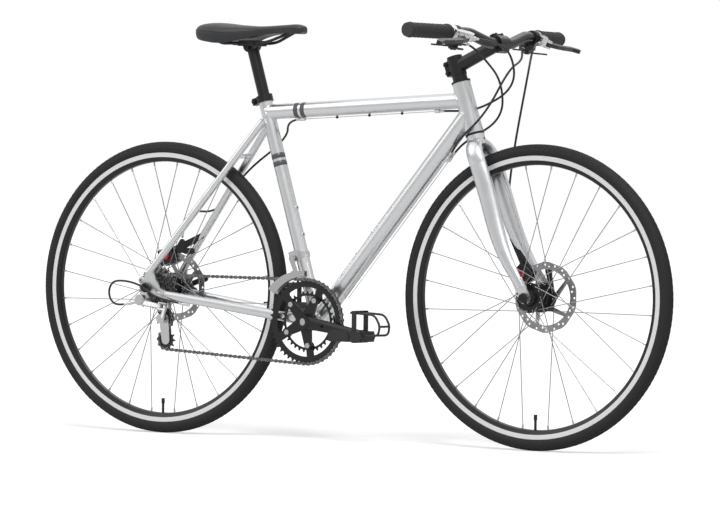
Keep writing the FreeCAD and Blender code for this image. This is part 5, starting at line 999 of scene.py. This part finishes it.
class BIKE_OT_saddle(bpy.types.Operator):
    """Build the padded saddle with its skirts and edge piping"""

    bl_idname = "bike.saddle"
    bl_label = "Saddle"

    def execute(self, context):
        sizes = context.scene.bike_sizes
        cover = bpy.data.materials["saddle cover"]
        length = sizes.saddle_length
        sections = 36
        shares = [0.5 - 0.5 * math.cos(math.pi * index / sections) for index in range(sections + 1)]
        mesh = skin("saddle pad", [saddle_outline(share, length) for share in shares])
        pad = mesh_object("saddle_pad", smooth(mesh), "seat", cover)
        rounding = pad.modifiers.new("rounding", "SUBSURF")
        rounding.levels = 2
        rounding.render_levels = 2
        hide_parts("saddle")
        seam_shares = [0.02 + 0.96 * index / 80 for index in range(81)]
        seams = []
        for sign in (-1, 1):
            line = []
            for share in seam_shares:
                point = saddle_outline(share, length)[3].lerp(saddle_outline(share, length)[2], 0.5)
                line.append(Vector((point.x, point.y * -sign, point.z)))
            seams.append(tube_along(line, 0.0008, sides=8))
        mesh_object("saddle_piping", smooth(joined("saddle piping", seams)), "seat",
                    bpy.data.materials["black plastic"])
        return {"FINISHED"}


class BIKE_OT_cables(bpy.types.Operator):
    """Lay the cable housings and bare wires along their routes, with metal end caps"""

    bl_idname = "bike.cables"
    bl_label = "Cables"

    def execute(self, context):
        sizes = context.scene.bike_sizes
        cover = bpy.data.materials["cable housing"]
        radius = sizes.housing_diameter / 2
        caps = {"frame": [], "steerer": []}
        runs = (
            ("rear_brake_housing_at_bar", REAR_BRAKE_AT_BAR, "both", "steering_housings"),
            ("front_shift_housing", FRONT_SHIFT, "both", None),
            ("rear_shift_housing", REAR_SHIFT, "both", None),
            ("front_brake_line", FRONT_BRAKE, "steerer", "front_brake_housing"),
            ("rear_brake_line", REAR_BRAKE, "frame", "frame_cables"),
            ("rear_derailleur_line", REAR_DERAILLEUR, "frame", None),
        )
        for name, route, body, node in runs:
            points = route_points(name, route)
            mesh = tube_along(points, radius, sides=14)
            mesh.materials.append(cover)
            piece = bpy.data.objects.new(name, mesh)
            context.scene.collection.objects.link(piece)
            if body == "both":
                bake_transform(piece)
            else:
                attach(piece, body)
            if node:
                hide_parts(node)
            caps["steerer" if body != "frame" else "frame"].append(ferrule(points, False, radius))
            caps["frame" if body != "steerer" else "steerer"].append(ferrule(points, True, radius))
        for body, meshes in caps.items():
            caps_mesh = smooth(joined(body + " cable caps", meshes))
            polish = bpy.data.materials["polished alloy"]
            mesh_object(body + "_cable_caps", caps_mesh, body, polish)
        steel = bpy.data.materials["bright steel"]
        left = tuple(Vector(point) for point in SHIFT_WIRE)
        right = tuple(Vector((point.x, -point.y, point.z)) for point in left)
        top = tuple(Vector(point) for point in TOP_WIRE)
        for name, ends in (("top_tube_wire", top), ("left_shift_wire", left), ("right_shift_wire", right)):
            points = [ends[0].lerp(ends[1], index / 8) for index in range(9)]
            wire = tube_along(points, sizes.wire_diameter / 2, sides=8)
            wire = mesh_object(name, wire, "frame", steel)
        rings = []
        for share in (0.25, 0.5, 0.75):
            middle = top[0].lerp(top[1], share)
            run = (top[1] - top[0]).normalized()
            profile = ((0.0009, -0.003), (0.0028, -0.0022), (0.0034, 0.0), (0.0028, 0.0022), (0.0009, 0.003))
            rings.append(smooth(lathe(profile, middle, run, 16)))
        mesh_object("wire_rings", smooth(joined("wire rings", rings)), "frame", cover)
        return {"FINISHED"}


class BIKE_OT_chain(bpy.types.Operator):
    """Build the chain of waisted plates and pins on the places of its links"""

    bl_idname = "bike.chain"
    bl_label = "Chain"

    def execute(self, context):
        chain_y, links = chain_links()
        if not LEAST_LINKS <= len(links) <= MOST_LINKS:
            raise RuntimeError("%d chain links were found" % len(links))
        spots = bpy.data.meshes.new("chain spots")
        spots.from_pydata([(x, chain_y, z) for x, z, turn, gap in links], [], [])
        for name, index in (("turn", 2), ("gap", 3)):
            layer = spots.attributes.new(name, "FLOAT", "POINT")
            layer.data.foreach_set("value", [link[index] for link in links])
        finish = bpy.data.materials["chain steel"]
        mesh = tree_mesh(chain_tree(), dict(CHAIN_SIZES, Finish=finish), spots)
        piece = mesh_object("chain_links", mesh, "frame", finish)
        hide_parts("chain")
        return {"FINISHED"}


def weld_line(base, run, radius, other, other_run, other_radius, count=72):
    """Closed line where the skins of two tubes meet, on the side that the run leaves by."""
    run = run.normalized()
    other_run = other_run.normalized()
    first = run.orthogonal().normalized()
    second = run.cross(first)
    line = []
    for index in range(count):
        angle = 2 * math.pi * index / count
        start = base + (first * math.cos(angle) + second * math.sin(angle)) * radius
        gap = start - other
        gap = gap - other_run * gap.dot(other_run)
        slope = run - other_run * run.dot(other_run)
        square = slope.dot(slope)
        cross = gap.dot(slope)
        rest = gap.dot(gap) - other_radius ** 2
        inside = cross ** 2 - square * rest
        if inside < 0:
            return None
        line.append(start + run * ((-cross + math.sqrt(inside)) / square))
    return line


class BIKE_OT_welds(bpy.types.Operator):
    """Lay a weld bead round each joint of the main tubes"""

    bl_idname = "bike.welds"
    bl_label = "Weld Beads"

    def execute(self, context):
        size = context.scene.bike_sizes.weld_radius
        side = Vector((0.0, 1.0, 0.0))
        head = (HEAD_HIGH - HEAD_LOW).normalized()
        joints = (
            (TOP_FRONT, TOP_REAR - TOP_FRONT, 0.0175, HEAD_LOW, head, 0.0210),
            (DOWN_FRONT, BRACKET - DOWN_FRONT, 0.0209, HEAD_LOW, head, 0.0210),
            (TOP_REAR, TOP_FRONT - TOP_REAR, 0.0158, BRACKET, POST_UP, 0.0159),
            (BRACKET, DOWN_FRONT - BRACKET, 0.0210, BRACKET, side, 0.0211),
            (BRACKET, POST_UP, 0.0159, BRACKET, side, 0.0210),
        )
        beads = []
        for base, run, radius, other, other_run, other_radius in joints:
            line = weld_line(base, run, radius, other, other_run, other_radius)
            if line is None:
                raise RuntimeError("a weld line misses its tube")
            beads.append(tube_along(line, size, closed=True, sides=10))
        mesh_object("frame_welds", smooth(joined("frame welds", beads)), "frame",
                    bpy.data.materials["brushed frame alloy"])
        return {"FINISHED"}


class BIKE_OT_bands(bpy.types.Operator):
    """Put plain grey bands on the top tube and the seat tube"""

    bl_idname = "bike.bands"
    bl_label = "Frame Bands"

    def execute(self, context):
        colours = context.scene.bike_colours
        grey = metal("grey band", colours.stripe, 0.34, change=0.12, metallic=0.2)
        run = (TOP_FRONT - TOP_REAR).normalized()
        bands = []
        for along in (0.080, 0.098):
            profile = ((0.0174, 0.0), (0.01765, 0.0002), (0.01765, 0.0118), (0.0174, 0.012))
            bands.append(lathe(profile, TOP_REAR + run * along, run, 48))
        for along in (-0.150, -0.168):
            profile = ((0.0158, 0.0), (0.01605, 0.0002), (0.01605, 0.0118), (0.0158, 0.012))
            bands.append(lathe(profile, SEAT_TOP + POST_UP * along, POST_UP, 48))
        mesh_object("frame_bands", smooth(joined("frame bands", bands)), "frame", grey)
        return {"FINISHED"}


class BIKE_OT_dials(bpy.types.Operator):
    """Add the red pad dials of both brake calipers"""

    bl_idname = "bike.dials"
    bl_label = "Brake Dials"

    def execute(self, context):
        colours = context.scene.bike_colours
        red = moulded("red dial", tuple(colours.dial)[:3], 0.38, size=800.0, depth=0.05)
        profile = ((0.0095, 0.0), (0.0095, 0.0018), (0.0086, 0.0026), (0.0040, 0.0027), (0.0036, 0.0019),
                   (0.0010, 0.0019))
        for body, middle in BRAKE_DIALS.items():
            dial = smooth(lathe(profile, middle, (0.0, -1.0, 0.0), 28))
            mesh_object(body + "_brake_dial", dial, body, red)
        return {"FINISHED"}


class BIKE_OT_stage(bpy.types.Operator):
    """Set the pale floor, the studio lights, the background and the camera"""

    bl_idname = "bike.stage"
    bl_label = "Stage"

    def execute(self, context):
        scene = context.scene
        scene.view_settings.view_transform = "Standard"
        mesh = bpy.data.meshes.new("floor")
        mesh.from_pydata([(-30, -30, -0.001), (30, -30, -0.001), (30, 30, -0.001), (-30, 30, -0.001)], [],
                         [(0, 1, 2, 3)])
        floor = bpy.data.objects.new("floor", mesh)
        scene.collection.objects.link(floor)
        material, tree, shader = start_material("pale floor")
        shader.inputs["Base Color"].default_value = (0.90, 0.90, 0.90, 1.0)
        shader.inputs["Roughness"].default_value = 0.9
        shader.inputs["Specular IOR Level"].default_value = 0.0
        path = tree.nodes.new("ShaderNodeLightPath")
        glow = tree.nodes.new("ShaderNodeEmission")
        glow.inputs["Color"].default_value = (1.0, 1.0, 1.0, 1.0)
        seen = math_node(tree, "MULTIPLY", path.outputs["Is Camera Ray"], 0.34)
        tree.links.new(seen, glow.inputs["Strength"])
        both = tree.nodes.new("ShaderNodeAddShader")
        tree.links.new(shader.outputs[0], both.inputs[0])
        tree.links.new(glow.outputs[0], both.inputs[1])
        tree.links.new(both.outputs[0], tree.nodes["Material Output"].inputs["Surface"])
        mesh.materials.append(material)
        world = bpy.data.worlds.new("studio")
        scene.world = world
        world.use_nodes = True
        sky = world.node_tree
        back = sky.nodes["Background"]
        back.inputs["Color"].default_value = (1.0, 1.0, 1.0, 1.0)
        rays = sky.nodes.new("ShaderNodeLightPath")
        direction = sky.nodes.new("ShaderNodeTexCoord")
        split = sky.nodes.new("ShaderNodeSeparateXYZ")
        sky.links.new(direction.outputs["Generated"], split.inputs[0])
        rise = step(sky, split.outputs["Z"], -0.1, 0.9)
        lit = spread(sky, rise, 0.16, 0.36)
        mirrored = math_node(sky, "MULTIPLY", spread(sky, rise, 0.46, 1.0), rays.outputs["Is Glossy Ray"])
        strength = math_node(sky, "MAXIMUM", lit, mirrored)
        strength = math_node(sky, "MAXIMUM", strength, rays.outputs["Is Camera Ray"])
        sky.links.new(strength, back.inputs["Strength"])
        for name, way, angle, power in (("key light", (-0.42, 0.62, -0.95), 26.0, 1.5),
                                        ("fill light", (0.70, 0.50, -0.55), 40.0, 0.45),
                                        ("back light", (0.10, -0.75, -0.80), 40.0, 0.50)):
            lamp = bpy.data.lights.new(name, "SUN")
            lamp.angle = math.radians(angle)
            lamp.energy = power
            light = bpy.data.objects.new(name, lamp)
            scene.collection.objects.link(light)
            light.rotation_euler = Vector(way).to_track_quat("-Z", "Y").to_euler()
        flat = math.cos(CAMERA_PITCH)
        ahead = Vector((-math.sin(CAMERA_YAW) * flat, math.cos(CAMERA_YAW) * flat, -math.sin(CAMERA_PITCH)))
        right = Vector((math.cos(CAMERA_YAW), math.sin(CAMERA_YAW), 0.0))
        up = right.cross(ahead)
        rolled_right = right * math.cos(CAMERA_ROLL) + up * math.sin(CAMERA_ROLL)
        rolled_up = up * math.cos(CAMERA_ROLL) - right * math.sin(CAMERA_ROLL)
        eye = CAMERA_TARGET - ahead * CAMERA_DISTANCE
        data = bpy.data.cameras.new("camera")
        data.sensor_width = 36.0
        data.lens = CAMERA_LENS
        camera = bpy.data.objects.new("camera", data)
        scene.collection.objects.link(camera)
        turn = Matrix((rolled_right, rolled_up, -ahead)).transposed().to_4x4()
        camera.matrix_world = Matrix.Translation(eye) @ turn
        scene.camera = camera
        return {"FINISHED"}


class BIKE_PT_panel(bpy.types.Panel):
    """Sidebar panel with the steps of the bike"""

    bl_idname = "BIKE_PT_panel"
    bl_label = "Hybrid Bike"
    bl_space_type = "VIEW_3D"
    bl_region_type = "UI"
    bl_category = "Bike"

    def draw(self, context):
        column = self.layout.column()
        for group in (context.scene.bike_sizes, context.scene.bike_colours):
            for name in group.__annotations__:
                column.prop(group, name)
        for step_class in STEPS:
            column.operator(step_class.bl_idname)


STEPS = (BIKE_OT_finishes, BIKE_OT_treads, BIKE_OT_nipples, BIKE_OT_grips, BIKE_OT_saddle, BIKE_OT_chain,
         BIKE_OT_cables, BIKE_OT_welds, BIKE_OT_bands, BIKE_OT_dials, BIKE_OT_stage)
CLASSES = (BikeSizes, BikeColours) + STEPS + (BIKE_PT_panel,)


def register():
    """Register the classes and their settings."""
    for one in CLASSES:
        bpy.utils.register_class(one)
    bpy.types.Scene.bike_sizes = PointerProperty(type=BikeSizes)
    bpy.types.Scene.bike_colours = PointerProperty(type=BikeColours)


def unregister():
    """Remove the settings and the classes."""
    del bpy.types.Scene.bike_colours
    del bpy.types.Scene.bike_sizes
    for one in reversed(CLASSES):
        bpy.utils.unregister_class(one)


def main():
    """Build the bike and its stage."""
    register()
    bpy.ops.bike.finishes()
    bpy.ops.bike.treads()
    bpy.ops.bike.nipples()
    bpy.ops.bike.grips()
    bpy.ops.bike.saddle()
    bpy.ops.bike.chain()
    bpy.ops.bike.cables()
    bpy.ops.bike.welds()
    bpy.ops.bike.bands()
    bpy.ops.bike.dials()
    bpy.ops.bike.stage()


if __name__ == "__main__":
    main()
